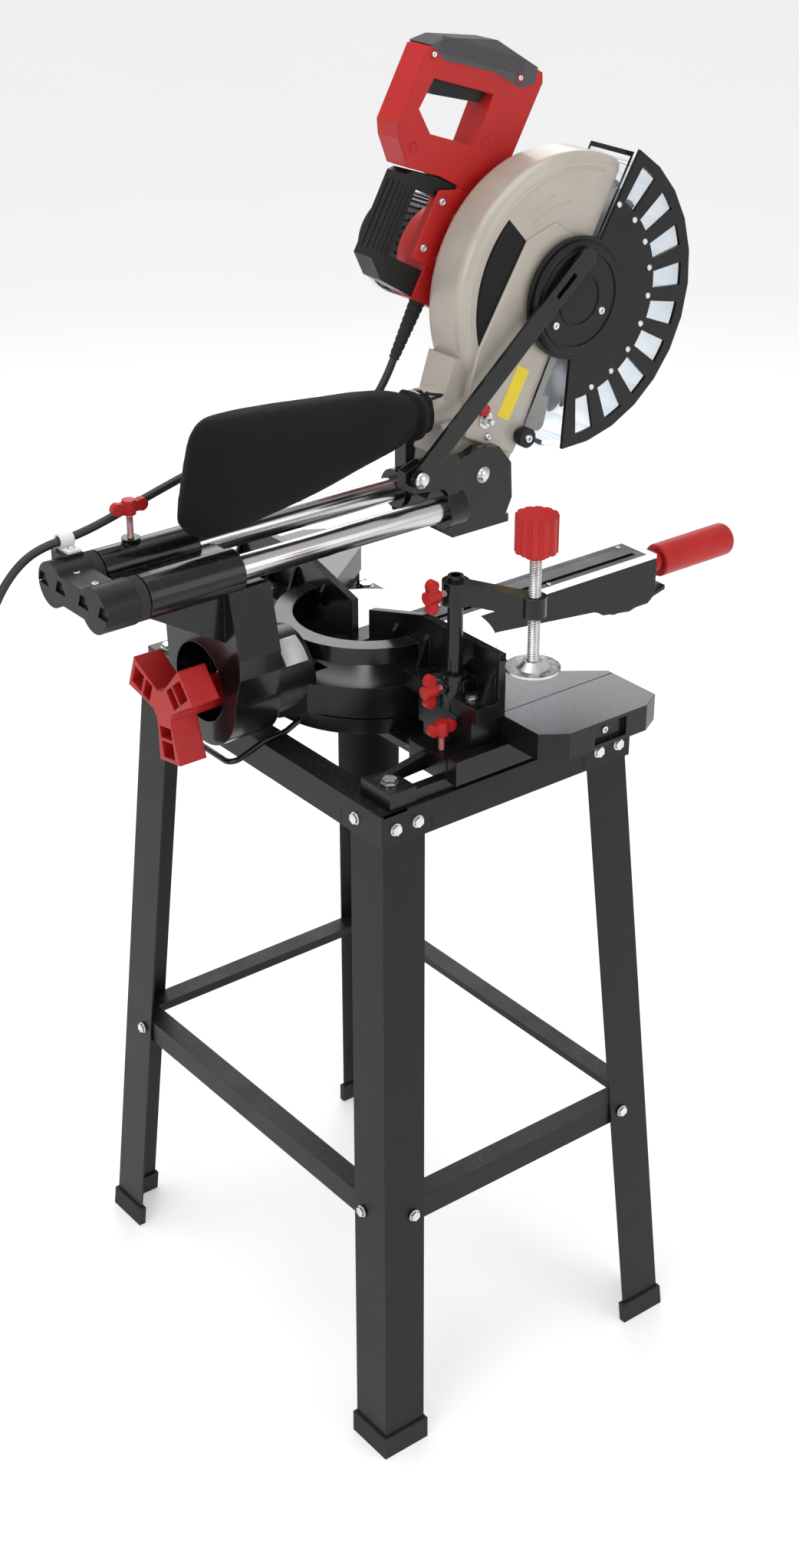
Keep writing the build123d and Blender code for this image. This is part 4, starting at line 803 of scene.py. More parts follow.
# --------------------------------------------------------------------- cord
@dataclass
class MainsCord:
    """The mains cord: from the handle back to the clip, down behind the stand and into a coil, in four lengths."""

    diameter: float = 8 * MM
    shift: tuple[float, float, float] = (0.0, 78 * MM, 0.0)
    coil_at: tuple[float, float] = (138 * MM, 644 * MM)
    coil_radii: tuple[float, float] = (41 * MM, 49 * MM)
    lead: list[tuple[float, float, float]] = field(default_factory=lambda: [
        (50, -30, 1014), (53, 12, 1003), (55, 62, 1003), (57, 114, 1001), (58, 166, 994), (58, 214, 982),
        (56, 262, 970), (53, 300, 963), (52, 318, 962)])
    tail: list[tuple[float, float, float]] = field(default_factory=lambda: [
        (52, 318, 962), (52, 338, 961), (53, 364, 951), (54, 388, 926), (56, 404, 890), (58, 416, 846)])
    drop: list[tuple[float, float, float]] = field(default_factory=lambda: [
        (58, 416, 846), (60, 425, 797), (64, 432, 745), (67, 440, 692), (69, 444, 640)])
    fall: list[tuple[float, float, float]] = field(default_factory=lambda: [
        (69, 444, 640), (70, 447, 588), (73, 451, 532), (74, 457, 475), (77, 460, 417), (78, 465, 360),
        (82, 468, 303), (84, 473, 246), (88, 475, 190), (90, 480, 136), (95, 485, 84), (101, 494, 42),
        (112, 505, 14)])

    def route(self, points: list[tuple[float, float, float]]) -> Array:
        """A given route in metres in the row frame."""
        return np.array(points, float) * MM + np.array(self.shift)

    def coil(self) -> Array:
        """The coil's turns: two side by side on the floor, then two on top, and a last bend into the plug.

        Each point is the centre plus a radius at an angle; radius and height ease from one turn to the next.

        Returns:
            The turns as route points.
        """
        inner, outer = self.coil_radii
        low = self.diameter / 2 + 0.3 * MM
        high = low + self.diameter
        stops = np.array([(-98, outer, low), (200, outer, low), (262, inner, low), (560, inner, low),
                          (622, inner, high), (900, inner, high), (962, outer, high), (1040, outer, high),
                          (1072, 46 * MM, 22 * MM)])
        angle = np.arange(-98, 1073, 26.0)
        radius = np.interp(angle, stops[:, 0], stops[:, 1])
        height = np.interp(angle, stops[:, 0], stops[:, 2])
        turn = np.radians(angle)
        x, y = self.coil_at
        turns = np.stack([x + radius * np.cos(turn), y + radius * np.sin(turn), height], axis=1)
        into_plug = np.array([(180, 660, 25), (166, 669, 25), (152, 670, 25)]) * MM
        return np.vstack([turns, into_plug])

    def line(self, route: Array, name: str) -> Array:
        """The smooth line that a NURBS spline of order 3 makes of the route.

        Args:
            route: the control points.
            name: a name for the work curve.

        Returns:
            Points along the line.
        """
        curve = bpy.data.curves.new(name, "CURVE")
        curve.dimensions = "3D"
        curve.resolution_u = 10
        spline = curve.splines.new("NURBS")
        spline.points.add(len(route) - 1)
        spline.points.foreach_set("co", np.hstack([route, np.ones((len(route), 1))]).ravel())
        spline.order_u = 3
        spline.use_endpoint_u = True
        work = bpy.data.objects.new(name, curve)
        bpy.context.scene.collection.objects.link(work)
        mesh = bpy.data.meshes.new_from_object(work)
        points = np.zeros(len(mesh.vertices) * 3)
        mesh.vertices.foreach_get("co", points)
        bpy.data.objects.remove(work)
        return points.reshape(-1, 3)

    def span(self, name: str, route: Array, bodies: tuple[str, str], replaces: tuple[str, ...]) -> Array:
        """Makes one length of cord, which stays where it is made.

        Args:
            name: the piece's name.
            route: its control points.
            bodies: the bodies at its start and end.
            replaces: its CAD nodes.

        Returns:
            The last point of its line.
        """
        line = self.line(route, name + "_line")
        made = piece(name, carried(circle(self.diameter / 2, 14), line), SHEATH, bodies[0], ride=False)
        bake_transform(made)
        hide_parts(*replaces)
        return line[-1]

    def build(self, head: HeadFrame) -> None:
        """Makes the strain relief and the four lengths."""
        start = head.place(46 * MM, 129 * MM, 85 * MM)
        tip = head.place(46 * MM, 70.1 * MM, 85 * MM)
        reach = np.linalg.norm(tip - start)
        along = np.linspace(0, 1, 37)
        radius = (8.0 - 2.8 * along) * MM - 0.7 * MM * (np.arange(37) % 4 == 2)
        profile = [(0, 0), *zip(along * reach, radius), (reach, 0)]
        relief = piece("strain_relief", turned(profile, start, tip - start, 24), FOOT, "head",
                       replaces=("cord_relief",))
        lead = np.vstack([tip, head.place(47 * MM, 48 * MM, 83 * MM), self.route(self.lead)])
        self.span("cord_to_clip", lead, ("head", "slider"), ("cord_lead",))
        self.span("cord_from_clip", self.route(self.tail), ("slider", "bevel_arm"), ("cord_tail",))
        self.span("cord_hanging", self.route(self.drop), ("bevel_arm", "turntable"), ("cord_drop",))
        rest = np.vstack([self.route(self.fall), self.coil()])
        self.span("cord_to_plug", rest, ("turntable", "stand"), ("cord_fall", "cord_coil"))
        dress(FOOT, "cord_plug")


# -------------------------------------------------------------------- stand
@dataclass
class SteelStand:
    """Splayed legs, top rails, braces and feet."""

    slot_half: float = 3.2 * MM

    def build(self) -> None:
        """Dresses the steelwork and lays painted shade where the keyhole slots beside the bolts are: dark plates, not
        cut slots.
        """
        dress(SATIN_BLACK, "stand_legs", "stand_top_rails", "stand_braces")
        dress(FOOT, "stand_feet")
        dress(ZINC, "frame_bolts")
        self.keyhole_shade()

    def keyhole_shade(self) -> None:
        """Painted shade of the keyhole slots: dark plates, each a round eye with a slot below it, on the left and rear
        faces of the rails, where the slots' shaded insides would show.
        """
        low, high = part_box("stand_top_rails")
        turn = np.radians(np.linspace(-50, 230, 12))
        eye = np.stack([np.cos(turn), np.sin(turn)], axis=1) * self.slot_half
        tail = np.array([(-0.45, -3.0), (0.45, -3.0)]) * self.slot_half
        outline = np.vstack([eye, tail])
        z = high.z - 21 * MM
        places, ways = [], []
        for corner in (low.y + 60 * MM, high.y - 60 * MM):
            for x, way in ((low.x, Way.LEFT), (high.x, Way.RIGHT)):
                places.append((x, corner, z))
                ways.append(way)
        for corner in (low.x + 64 * MM, high.x - 64 * MM):
            for y, way in ((low.y, Way.FRONT), (high.y, Way.BACK)):
                places.append((corner, y, z))
                ways.append(way)
        shapes = []
        for place, way in zip(places, ways):
            out = np.array(way.value)
            side = np.cross(Way.UP.value, out)
            points = np.array(place) + outline[:, :1] * side + outline[:, 1:] * np.array(Way.UP.value)
            shapes.append(prism(points - 0.1 * MM * out, 0.25 * MM * out))
        # the black sticker finish here is painted shade standing in for open keyhole slots
        piece("rail_keyhole_shade", shapes[0].joined(*shapes[1:]), STICKER, "stand")


# --------------------------------------------------------------------- base
@dataclass
class SawBase:
    """Base casting, fence, wings, turntable and the small pieces on them."""

    tick_step: float = 4 * MM
    tick: tuple[float, float, float] = (3.2 * MM, 0.35 * MM, 0.2 * MM)

    def build(self) -> None:
        """Dresses the castings and adds scale marks, screws and stems."""
        low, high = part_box("fence")
        face = low.y
        centre = (0.0, 89 * MM)
        table = MachinedTop("machined_table", "painted_black", GLOSS_BLACK.colour, GLOSS_BLACK.tone, (0.22, 0.34),
                            gleam=0.35, relief=0.006 * MM, round_edge=1.2 * MM, back=face + 4 * MM,
                            bare=(0.085, 0.085, 0.09))
        disc = MachinedTop("turned_disc", "machined", GLOSS_BLACK.colour, GLOSS_BLACK.tone, (0.22, 0.34), gleam=0.35,
                           relief=0.006 * MM, round_edge=1.0 * MM, back=face + 4 * MM, turned_about=centre)
        dress(table, "base_casting", "wing_left", "wing_right")
        dress(disc, "turntable")
        dress(GLOSS_BLACK, "fence", "rear_bail", "detent_lever")
        dress(BLACK, "kerf_insert")
        dress(RED, "mitre_handle", "wing_lock_left", "wing_lock_right")
        self.scale_marks()
        self.insert_screws()
        self.wing_details()

    def scale_marks(self) -> None:
        """Rows of raised marks along both sides of the kerf plate."""
        low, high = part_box("kerf_insert")
        y = np.arange(low.y + 14 * MM, high.y - 120 * MM, self.tick_step)
        for side, x in (("left", low.x + 5 * MM), ("right", high.x - 6 * MM)):
            centres = np.stack([np.full_like(y, x), y, np.full_like(y, high.z)], axis=1)
            piece(f"kerf_marks_{side}", bar(centres, self.tick, np.eye(3)), BLACK, "turntable")

    def insert_screws(self) -> None:
        """Countersunk screws that hold the kerf plate."""
        low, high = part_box("kerf_insert")
        y = np.linspace(low.y + 12 * MM, high.y - 12 * MM, 4)
        x = np.tile([high.x - 7 * MM, low.x + 3.4 * MM], 2)
        places = np.stack([x, y, np.full(4, high.z)], axis=1)
        piece("insert_screws", pan_screw(2.6 * MM).repeated(places, np.eye(3)), ZINC, "turntable")

    def wing_details(self) -> None:
        """End-stop screws and threaded stems of the wing locks."""
        for side, name in ((-1, "left"), (1, "right")):
            low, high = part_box("wing_" + name)
            out = Way.LEFT if side < 0 else Way.RIGHT
            edge = (low.x if side < 0 else high.x) - side * 5 * MM
            place = (edge, 18 * MM, high.z - 12 * MM)
            screw = pan_screw(4.2 * MM).repeated([place], axes_for(out.value))
            piece(f"wing_stop_screw_{name}", screw, ZINC, "wing_" + name)
            low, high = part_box("wing_lock_" + name)
            centre = (low + high) / 2
            stem = threaded((centre.x, centre.y, low.z + 0.2 * MM), (centre.x, centre.y, low.z + 21 * MM),
                            3.25 * MM, 1.1 * MM)
            piece(f"wing_lock_stem_{name}", stem, ZINC, "wing_lock_" + name)


@dataclass
class HoldDown:
    """The clamp: post, arm, screw, knob and pad."""

    pitch: float = 2.4 * MM

    def build(self) -> None:
        """Dresses the clamp and cuts its thread."""
        dress(GLOSS_BLACK, "clamp_post", "clamp_arm")
        dress(ZINC, "clamp_pad")
        dress(RED, "clamp_knob", "clamp_arm_lock", "clamp_post_lock")
        low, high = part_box("clamp_screw")
        centre = (low + high) / 2
        screw = threaded((centre.x, centre.y, low.z), (centre.x, centre.y, high.z), 6 * MM, self.pitch, 24)
        piece("clamp_thread", screw, ZINC, "clamp_screw", replaces=("clamp_screw",))
        for name in ("clamp_arm_lock", "clamp_post_lock"):
            low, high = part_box(name)
            centre = (low + high) / 2
            stem = threaded((centre.x, low.y + 0.2 * MM, centre.z), (centre.x, low.y + 13.5 * MM, centre.z),
                            3.2 * MM, 1.1 * MM)
            piece(name + "_stem", stem, ZINC, name)
        low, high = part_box("clamp_post")
        cap = [(-2 * MM, 0), (-2 * MM, 6.4 * MM), (0.6 * MM, 6.4 * MM), (1.2 * MM, 4.5 * MM), (1.2 * MM, 0)]
        top = ((low.x + high.x) / 2, (low.y + high.y) / 2, high.z - 1.2 * MM)
        piece("post_cap", turned(cap, top, Way.UP.value), BLACK, "clamp_post")


# ----------------------------------------------------------- bevel and slide
@dataclass
class SlideAndBevel:
    """Bevel arm with its lock, the rails with their end cap, and the carriage."""

    drum_radius: float = 44 * MM
    bevel_z: float = 792 * MM

    def build(self) -> None:
        """Dresses the pieces and adds the screws, a washer and blank label."""
        dress(GLOSS_BLACK, "bevel_arm", "carriage", "link_arm")
        dress(BLACK, "rail_end_cap")
        dress(FOOT, "rail_bumpers")
        dress(CHROME, "slide_rails", "return_spring")
        dress(BRONZE, "rail_bushes")
        dress(ZINC, "bevel_pivot_bolt", "pivot_pin")
        dress(RED, "bevel_lock_knob", "rail_lock_knob")
        dress(WHITE, "cord_clip")
        self.cap_screws()
        self.blank_label()
        self.rail_lock_stem()
        self.link_bolts()

    def cap_screws(self) -> None:
        """Socket screws on top of the end cap and in the tubes."""
        low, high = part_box("rail_end_cap")
        z = (low.z + high.z) / 2
        y = low.y + 18 * MM
        places = [(-37 * MM, y, z + 17.8 * MM), (-12 * MM, y, z + 10.4 * MM), (20 * MM, y, z + 10.4 * MM)]
        piece("cap_screws", pan_screw(4.2 * MM).repeated(places, np.eye(3)), ZINC, "slider")
        low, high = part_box("cord_clip")
        place = [(low.x + 6 * MM, (low.y + high.y) / 2, low.z + 2.6 * MM)]
        piece("clip_screw", pan_screw(3.4 * MM).repeated(place, np.eye(3)), ZINC, "slider")

    def blank_label(self) -> None:
        """A blank white label bent round the drum: radius fixed, angle and Y on a grid."""
        angle, y = np.meshgrid(np.radians(np.linspace(112, 150, 14)), np.array([190, 216]) * MM, indexing="ij")
        r = self.drum_radius + 0.3 * MM
        points = np.stack([r * np.cos(angle), y, self.bevel_z + r * np.sin(angle)], axis=-1)
        shape = Shape(points.reshape(-1, 3), [grid_faces(14, 2, False)])
        label = piece("drum_label", shape, PAPER, "turntable")
        wall = label.modifiers.new("wall", "SOLIDIFY")
        wall.thickness = 0.2 * MM
        wall.offset = 0

    def rail_lock_stem(self) -> None:
        """Threaded stem of the rail lock, and the washer at the bevel lock's stem."""
        low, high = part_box("rail_lock_knob")
        x, y = (low.x + high.x) / 2, (low.y + high.y) / 2
        stem = threaded((x, y, low.z + 8 * MM), (x, y, high.z - 15 * MM), 3.3 * MM, 1.1 * MM)
        piece("rail_lock_stem", stem, ZINC, "rail_lock_knob")
        low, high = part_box("bevel_lock_knob")
        ring = [(0, 12 * MM), (0, 18.5 * MM), (1.6 * MM, 18.5 * MM), (1.6 * MM, 12 * MM), (0, 12 * MM)]
        piece("bevel_lock_washer", turned(ring, (0, low.y + 0.4 * MM, self.bevel_z), Way.BACK.value), WHITE,
              "bevel_lock_knob")

    def link_bolts(self) -> None:
        """Domed zinc heads on the pivot pin's left end."""
        low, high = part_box("pivot_pin")
        centre = (low + high) / 2
        piece("pivot_head", rivet(7.5 * MM).repeated([(low.x, centre.y, centre.z)], axes_for(Way.LEFT.value)), ZINC,
              "slider")
        low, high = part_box("link_arm")
        head = [(low.x, 65 * MM, 974 * MM)]
        piece("link_bolt_head", rivet(8.5 * MM).repeated(head, axes_for(Way.LEFT.value)), ZINC, "link_arm")


# --------------------------------------------------------------------- head
@dataclass
class SawHead:
    """Upper guard, arm, handle, carry handle and motor."""

    head: HeadFrame
    face_x: float = -30 * MM
    cheek_x: float = -32.5 * MM
    motor_s: float = 183 * MM
    motor_h: float = 45 * MM
    motor_r: float = 50 * MM
    shell_x: float = 30 * MM

    def outline(self, pairs: list[tuple[float, float]], x: float) -> Array:
        """(s, h) pairs in millimetres as points at one x."""
        s, h = np.array(pairs, float).T * MM
        return self.head.place(x, s, h)

    def build(self) -> None:
        """Dresses the head's nodes and adds its ribs, labels, screws and motor rings."""
        dress(CHAMPAGNE, "head_casting")
        dress(RED, "handle_shell", "spindle_lock")
        dress(GRIP, "handle_grip")
        dress(BLACK, "carry_handle", "trigger", "motor_housing", "motor_cap")
        dress(STEEL, "spindle", "armature", "idler_gear")
        self.guard_ribs()
        self.cheek()
        self.labels()
        self.shell_panel()
        self.grip_ribs()
        self.carry_ribs()
        self.motor_rings()

    def guard_ribs(self) -> None:
        """Raised ribs on the guard's face: a round profile carried along arcs about the blade's centre."""
        arcs = ((124, -8, 170, 1.5), (130, -6, 168, 1.1), (105, 120, 139, 1.0), (94, 120, 150, 0.8))
        shapes = []
        for radius, a0, a1, half in arcs:
            degrees = np.linspace(a0, a1, 80)
            depth = 29.6 if radius < 127 else 28.6
            path = self.head.round_hub(-depth * MM, radius * MM, degrees)
            shapes.append(carried(circle(half * MM, 10), path))
        piece("guard_ribs", shapes[0].joined(*shapes[1:]), CHAMPAGNE, "head", crease=60)

    def cheek(self) -> None:
        """The arm's raised face on the guard, with chamfered edges, and the bolts through it."""
        pairs = [(30, -40), (26, 28), (60, 45), (107, 57), (221, 53), (250, 26), (242, -29), (150, -44)]
        shape = prism(self.outline(pairs, -23 * MM), (self.cheek_x + 23 * MM, 0, 0))
        piece("arm_cheek", shape, CHAMPAGNE, "head", bevel=1.8 * MM)
        left = axes_for(Way.LEFT.value)
        bolt = turned([(-1 * MM, 0), (-1 * MM, 8.5 * MM), (1 * MM, 8.5 * MM), (1 * MM, 5.5 * MM), (5 * MM, 5.5 * MM),
                       (5.4 * MM, 5 * MM), (5.4 * MM, 3.1 * MM), (10.5 * MM, 3.1 * MM), (11 * MM, 2.6 * MM),
                       (11 * MM, 0)], (0, 0, 0), Way.UP.value, 24)
        piece("stop_bolt", bolt.repeated(self.outline([(50, 13)], self.cheek_x), left), ZINC, "head")
        piece("stop_screw", pan_screw(4 * MM).repeated(self.outline([(36, 2)], self.cheek_x), left), ZINC, "head")

    def labels(self) -> None:
        """A plain black crescent on the guard and a plain yellow label on the arm.

        The crescent lies between an arc and the straight line that joins the arc's start to an inner point.
        """
        count = 40
        degrees = np.linspace(45.6, 108.4, count)
        outer = self.head.round_hub(self.face_x, 119 * MM, degrees)
        ends = self.head.round_hub(self.face_x, np.array([119, 86]) * MM, np.array([45.6, 108.4]))
        share = np.linspace(0, 1, count)[:, None]
        inner = ends[0] + share * (ends[1] - ends[0])
        across = np.linspace(0, 1, 6)[None, :, None]
        points = outer[:, None] * (1 - across) + inner[:, None] * across
        crescent = piece("guard_sticker", Shape(points.reshape(-1, 3), [grid_faces(count, 6, False)]), STICKER, "head")
        wall = crescent.modifiers.new("wall", "SOLIDIFY")
        wall.thickness = 0.5 * MM
        wall.offset = 0
        yellow = self.outline([(58, -16), (58, 1), (111, 1), (111, -16)], self.cheek_x + 0.05 * MM)
        piece("arm_sticker", prism(yellow, (-0.3 * MM, 0, 0)), YELLOW, "head")

    def shell_panel(self) -> None:
        """A raised panel on the shell with its four screws, and dark wells of the handle's screws."""
        pairs = [(166, 82), (236, 82), (241, 87), (241, 104), (231, 128), (162, 128), (162, 86)]
        shape = prism(self.outline(pairs, self.shell_x + 1 * MM), (-3 * MM, 0, 0))
        piece("shell_panel", shape, RED, "head", bevel=1.2 * MM)
        left = axes_for(Way.LEFT.value)
        screws = self.outline([(222.5, 120), (215.4, 95), (174, 95.5), (176, 120)], self.shell_x - 2 * MM)
        piece("shell_screws", pan_screw(4.2 * MM).repeated(screws, left), ZINC, "head")
        well = turned([(-0.4 * MM, 0), (-0.4 * MM, 3.4 * MM), (0.5 * MM, 4.4 * MM), (0.5 * MM, 5 * MM),
                       (-1 * MM, 5 * MM), (-1 * MM, 0)], (0, 0, 0), Way.UP.value, 20)
        wells = self.outline([(360, 86), (292, 96), (338, 195), (255, 176)], self.shell_x)
        piece("shell_wells", well.repeated(wells, left), RED, "head")
        small = self.outline([(360, 86), (338, 195)], self.shell_x)
        piece("well_screws", pan_screw(3 * MM).repeated(small, left), ZINC, "head")

    def grip_ribs(self) -> None:
        """Fine ribs across the grip's left face, in rows along its length."""
        low_s, high_s = np.array([349, 196]) * MM, np.array([371, 82]) * MM
        share = np.linspace(0.04, 0.96, 34)[:, None]
        line = low_s + share * (high_s - low_s)
        centres = self.head.place(self.shell_x, line[:, 0], line[:, 1])
        run = high_s - low_s
        along = run[0] * self.head.forward + run[1] * self.head.above
        along /= np.linalg.norm(along)
        leftward = np.array(Way.LEFT.value)
        axes = np.stack([np.cross(along, leftward), along, leftward], axis=1)
        piece("grip_ribs", bar(centres, (7.5 * MM, 0.8 * MM, 0.7 * MM), axes), GRIP, "head", bevel=0.3 * MM)

    def carry_ribs(self) -> None:
        """Three long ribs on the carry handle's bar, on its left and upper faces."""
        s = np.array([188.5])
        shapes = []
        for h in (156.0, 161.5, 167.0):
            centres = self.head.place(32 * MM, s * MM, h * MM)
            shapes.append(bar(centres, (34 * MM, 1.3 * MM, 0.9 * MM), self.head.axes))
        for x in (38.0, 46.0, 54.0):
            centres = self.head.place(x * MM, s * MM, 171 * MM)
            shapes.append(bar(centres, (34 * MM, 0.9 * MM, 1.5 * MM), self.head.axes))
        piece("carry_ribs", shapes[0].joined(*shapes[1:]), BLACK, "head", bevel=0.5 * MM)

    def motor_rings(self) -> None:
        """Red sleeve, vent fins and chrome ring round the motor, and vanes on its cap."""
        origin = self.head.place(0.0, self.motor_s, self.motor_h)
        right = np.array(Way.RIGHT.value)
        r = self.motor_r
        sleeve = [(62.2, 0.2), (62.2, 1.6), (64, 2.4), (88, 2.4), (92, 0.8), (92, -2), (62.2, -2), (62.2, 0.2)]
        piece("motor_sleeve", turned([(x * MM, r + d * MM) for x, d in sleeve], origin, right, 64), RED, "head")
        ring = [(140, -1), (140, 1.4), (141.5, 2.2), (147.5, 2.2), (149.6, 0.8), (149.6, -1), (140, -1)]
        piece("motor_ring", turned([(x * MM, r + d * MM) for x, d in ring], origin, right, 64), CHROME, "head")
        turn = np.linspace(0, 2 * math.pi, 36, endpoint=False)
        out = np.cos(turn)[:, None] * self.head.forward + np.sin(turn)[:, None] * self.head.above
        axes = np.stack([out, np.cross(right, out), np.broadcast_to(right, out.shape)], axis=-1)
        fins = bar(origin + 116 * MM * right + (r + 0.2 * MM) * out, (1.2 * MM, 1.5 * MM, 20 * MM), axes)
        piece("motor_fins", fins, BLACK, "head", bevel=0.4 * MM)
        vanes = bar((origin + 166 * MM * right + 27 * MM * out)[::2], (10 * MM, 1.2 * MM, 0.8 * MM), axes[::2])
        piece("cap_vanes", vanes, BLACK, "head", bevel=0.3 * MM)


@dataclass
class Blade:
    """The toothed blade, which stands for the plain disc."""

    head: HeadFrame
    teeth: int = 48
    radius: float = 127.5 * MM
    gullet: float = 7 * MM
    half: float = 1.1 * MM

    def build(self) -> None:
        """Makes the blade and its carbide tips.

        The outline's radius rises along each tooth's back and drops into the gullet: a saw wave of the angle.
        """
        per_tooth = 8
        count = self.teeth * per_tooth
        angle = np.linspace(0, 360, count, endpoint=False)
        wave = (np.arange(count) % per_tooth) / (per_tooth - 1)
        rim = self.radius - self.gullet * (1 - np.clip(1.5 * wave, 0, 1) ** 0.6)
        radii = np.stack([np.full(count, 15 * MM), rim, rim, np.full(count, 15 * MM), np.full(count, 15 * MM)])
        x = np.array([-1, -1, 1, 1, -1])[:, None] * self.half
        points = self.head.round_hub(np.broadcast_to(x, radii.shape), radii, np.broadcast_to(angle, radii.shape))
        shape = Shape(points.reshape(-1, 3), [grid_faces(5, count)])
        piece("toothed_blade", shape, STEEL, "blade", crease=30, replaces=("blade",))
        at = np.radians(angle[per_tooth - 1::per_tooth])
        out = -np.cos(at)[:, None] * self.head.forward + np.sin(at)[:, None] * self.head.above
        sideways = np.broadcast_to(np.array(Way.RIGHT.value), out.shape)
        axes = np.stack([out, np.cross(sideways, out), sideways], axis=-1)
        centre = self.head.place(0.0, self.head.hub_s, self.head.hub_h)
        tips = bar(centre + (self.radius - 3.2 * MM) * out, (3 * MM, 1.1 * MM, 1.3 * MM), axes)
        piece("carbide_tips", tips, CARBIDE, "blade")


@dataclass
class LowerGuard:
    """Clear lower guard with its windowed cover, rivets, hub and roller."""

    head: HeadFrame
    rivet_radius: float = 99 * MM

    def build(self) -> None:
        """Dresses the guard and adds rivets, hub rings and bolts."""
        dress(CLEAR, "lower_guard")
        dress(BLACK, "guard_cover", "hub_cover", "guard_roller")
        left = axes_for(Way.LEFT.value)
        rivets = self.head.round_hub(-40 * MM, self.rivet_radius, 183 + 16.6 * np.arange(10))
        piece("cover_rivets", rivet(3.4 * MM).repeated(rivets[:9], left), ZINC, "lower_guard")
        hub = self.head.round_hub(-45.5 * MM, 0.0, 0.0)
        rings = []
        for r0, r1, rise in ((24, 27, 1.2), (46, 50, 1.4)):
            ring = [(-1, r0), (rise, r0 + 0.5), (rise, r1 - 0.5), (-1, r1), (-1, r0)]
            rings.append(turned([(a * MM, r * MM) for a, r in ring], hub, Way.LEFT.value, 64))
        piece("hub_rings", rings[0].joined(rings[1]), BLACK, "lower_guard")
        bolts = self.head.place(-45.5 * MM, np.array([225.6, 160.0, 193.0]) * MM, np.array([-10.3, -12.0, -62.0]) * MM)
        piece("hub_bolts", pan_screw(4.4 * MM).repeated(bolts, left), ZINC, "lower_guard")
        roller = self.head.round_hub(-45.2 * MM, 143.5 * MM, 356.3)
        piece("roller_bolt", pan_screw(4.6 * MM).repeated([roller], left), ZINC, "guard_roller")


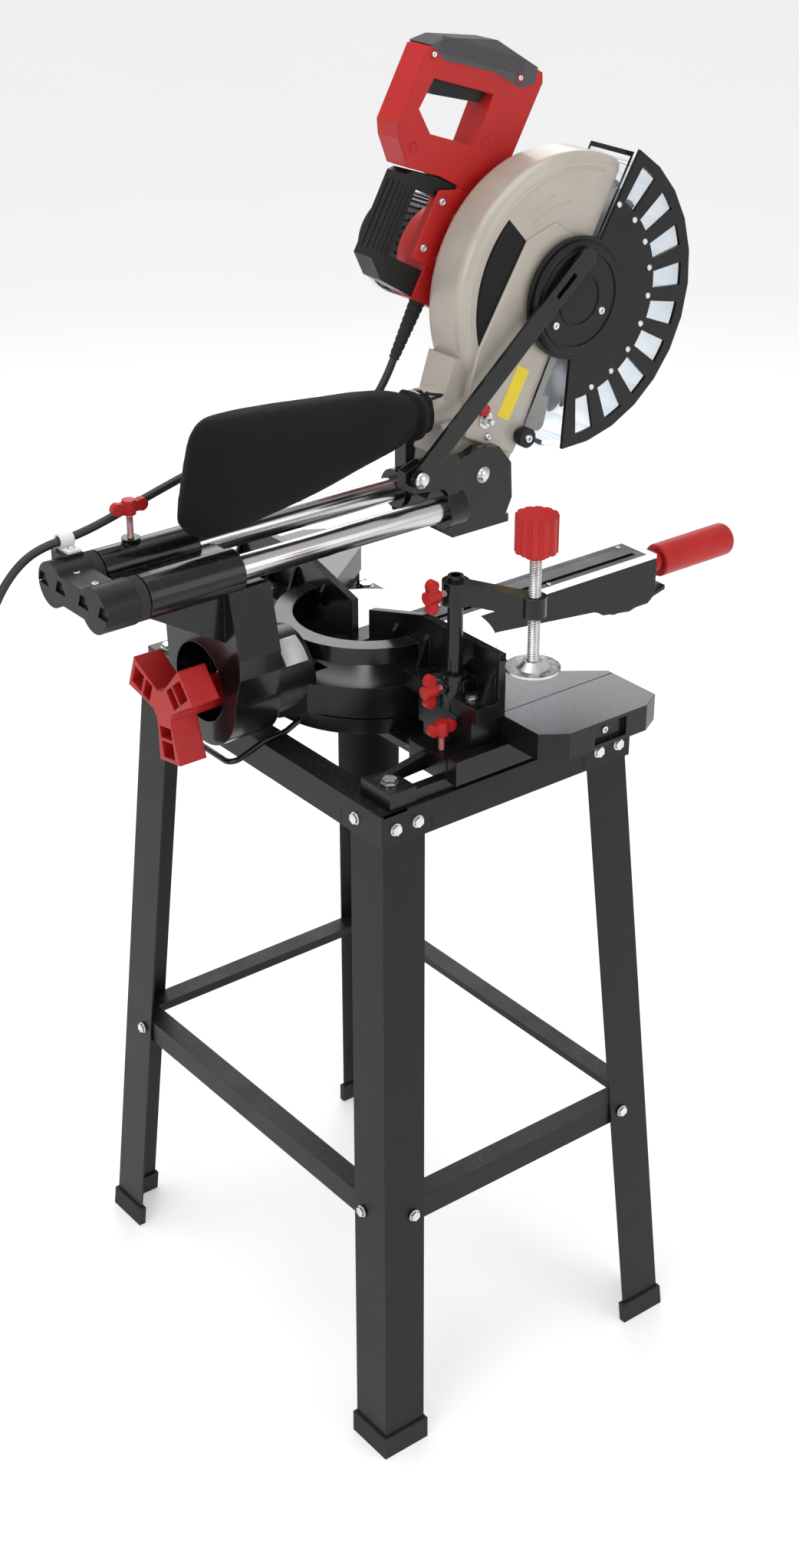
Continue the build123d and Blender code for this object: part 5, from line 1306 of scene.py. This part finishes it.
# ---------------------------------------------------------------- dust bag
@dataclass
class DustBag:
    """A sagging nylon bag, gathered at its neck by a wire ring, with a flat seam at its end."""

    shift: float = 78 * MM
    middle_x: float = -15.5 * MM
    stations: int = 72
    round_points: int = 96
    rows: list[tuple[float, ...]] = field(default_factory=lambda: [
        # y and z of the top, y and z of the bottom, half width
        (-53, 1046, -53, 998, 24), (-44, 1041, -44, 1003, 19), (-34, 1047, -30, 999, 24), (-8, 1059, 0, 1000, 29),
        (30, 1066, 42, 993, 30), (80, 1070, 96, 981, 30), (130, 1074, 148, 972, 29), (176, 1077, 198, 965, 27),
        (206, 1077, 228, 968, 19), (224, 1066, 244, 986, 4)])

    def surface(self) -> Shape:
        """The bag as a loft: sections between a top and a bottom line, each a rounded oblong.

        A point is the section's middle, plus half its height times a flattened cosine of the turn, plus half
        its width times a flattened sine. Folds add to the half width and half height: tight gathers that fade
        away from the neck, and a few long creases that run slantwise.
        """
        rows = smooth_rows(np.array(self.rows), self.stations)
        rows[:, 4] = np.maximum(rows[:, 4], 2.5)
        turn = np.linspace(0, 2 * math.pi, self.round_points, endpoint=False)
        cos, sin = np.cos(turn), np.sin(turn)
        flat_cos = np.sign(cos) * np.abs(cos) ** 0.85
        flat_sin = np.sign(sin) * np.abs(sin) ** 0.8
        along = np.linspace(0, 1, self.stations)[:, None]
        top, bottom, wide = rows[:, :2], rows[:, 2:4], rows[:, 4:5]
        gathers = 0.07 * np.exp(-((along - 0.16) / 0.13) ** 2) * np.cos(15 * turn + 4 * along)
        slant = 0.05 * np.sin(2.2 * turn + 9 * along + 0.6) * np.sin(math.pi * along)
        fold = -0.16 * np.exp(-((turn - 4.4 - 1.1 * (along - 0.75)) / 0.14) ** 2) * np.exp(-((along - 0.8) / 0.14) ** 2)
        crease = -0.12 * np.exp(-((turn - 4.9 + 1.4 * (along - 0.5)) / 0.12) ** 2) * np.exp(-((along - 0.45) / 0.2) ** 2)
        swell = 1 + gathers + slant + fold + crease
        middle = (top + bottom) / 2
        rise = (top - bottom) / 2
        x = self.middle_x / MM + (wide * flat_sin) * swell
        x += 10.5 * np.clip(1 - along / 0.22, 0, 1)
        yz = middle[:, None] + rise[:, None] * (flat_cos * (1 + 0.5 * (swell - 1)))[..., None]
        points = np.concatenate([x[..., None], yz], axis=-1) * MM
        points[..., 1] += self.shift
        first = np.broadcast_to(points[0].mean(0), (1, self.round_points, 3))
        last = np.broadcast_to(points[-1].mean(0), (1, self.round_points, 3))
        points = np.concatenate([first, points, last])
        return Shape(points.reshape(-1, 3), [grid_faces(len(points), self.round_points)])

    def inflate(self, bag: bpy.types.Object, cap: float = 7 * MM) -> None:
        """Swells the bag a little as cloth, with its neck held.

        Args:
            bag: the bag, with its final place in its mesh.
            cap: how far a point may move, in metres.
        """
        remesh = bag.modifiers.new("even", "REMESH")
        remesh.mode = "VOXEL"
        remesh.voxel_size = 4 * MM
        self.bake(bag)
        count = len(bag.data.vertices)
        before = np.zeros(count * 3)
        bag.data.vertices.foreach_get("co", before)
        before = before.reshape(-1, 3)
        held = bag.vertex_groups.new(name="held")
        held.add(np.flatnonzero(before[:, 1] < self.shift - 28 * MM).tolist(), 1.0, "REPLACE")
        cloth = bag.modifiers.new("cloth", "CLOTH")
        cloth.settings.quality = 6
        cloth.settings.mass = 0.2
        cloth.settings.use_pressure = True
        cloth.settings.uniform_pressure_force = 3.0
        cloth.settings.effector_weights.gravity = 0.25
        cloth.settings.vertex_group_mass = "held"
        scene = bpy.context.scene
        for step in range(1, 17):
            scene.frame_set(step)
        shown = bag.evaluated_get(bpy.context.evaluated_depsgraph_get())
        after = np.zeros(count * 3)
        shown.data.vertices.foreach_get("co", after)
        bag.modifiers.remove(cloth)
        scene.frame_set(1)
        move = after.reshape(-1, 3) - before
        size = np.linalg.norm(move, axis=1, keepdims=True)
        move *= np.minimum(1, cap / np.maximum(size, 1e-9))
        bag.data.vertices.foreach_set("co", (before + move).ravel())
        bag.data.update()

    def bake(self, bag: bpy.types.Object) -> None:
        """Applies the bag's modifiers to its mesh."""
        shown = bag.evaluated_get(bpy.context.evaluated_depsgraph_get())
        mesh = bpy.data.meshes.new_from_object(shown)
        bag.modifiers.clear()
        bag.data = mesh
        mesh.shade_smooth()

    def build(self) -> None:
        """Makes the bag, its ring, its toggle and its seam."""
        bag = piece("dust_bag_cloth", self.surface(), NYLON, "head", crease=180)
        self.inflate(bag)
        smooth = bag.modifiers.new("smooth", "SUBSURF")
        smooth.levels = smooth.render_levels = 1
        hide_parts("dust_bag")
        turn = np.radians(np.linspace(0, 360, 64))
        y, z, x = self.shift - 44 * MM, 1022 * MM, -5 * MM
        ring = np.stack([x + 21 * MM * np.cos(turn), np.full_like(turn, y), z + 20.5 * MM * np.sin(turn)], axis=1)
        piece("bag_ring", carried(circle(1.3 * MM, 10), ring, False), ZINC, "head", crease=60)
        curl = np.linspace(0, 1, 40)
        reach = np.stack([x - (21 + 4 * np.sin(5 * curl)) * MM, y + (9 * np.cos(6 * curl) - 6) * MM,
                          z + (26 - 12 * curl) * MM], axis=1)
        piece("bag_toggle", carried(circle(1.5 * MM, 10), reach), BLACK, "head", crease=60)


# --------------------------------------------------------------------- main
def main() -> None:
    """Builds the stage, then each sub-assembly in order."""
    logging.basicConfig(level=logging.INFO, format="%(name)s %(message)s")
    build_effects()
    studio = Studio()
    studio.set_camera()
    head = HeadFrame()
    MainsCord().build(head)
    studio.lay_floor()
    studio.light()
    SteelStand().build()
    SawBase().build()
    HoldDown().build()
    SlideAndBevel().build()
    SawHead(head).build()
    Blade(head).build()
    LowerGuard(head).build()
    DustBag().build()


if __name__ == "__main__":
    main()
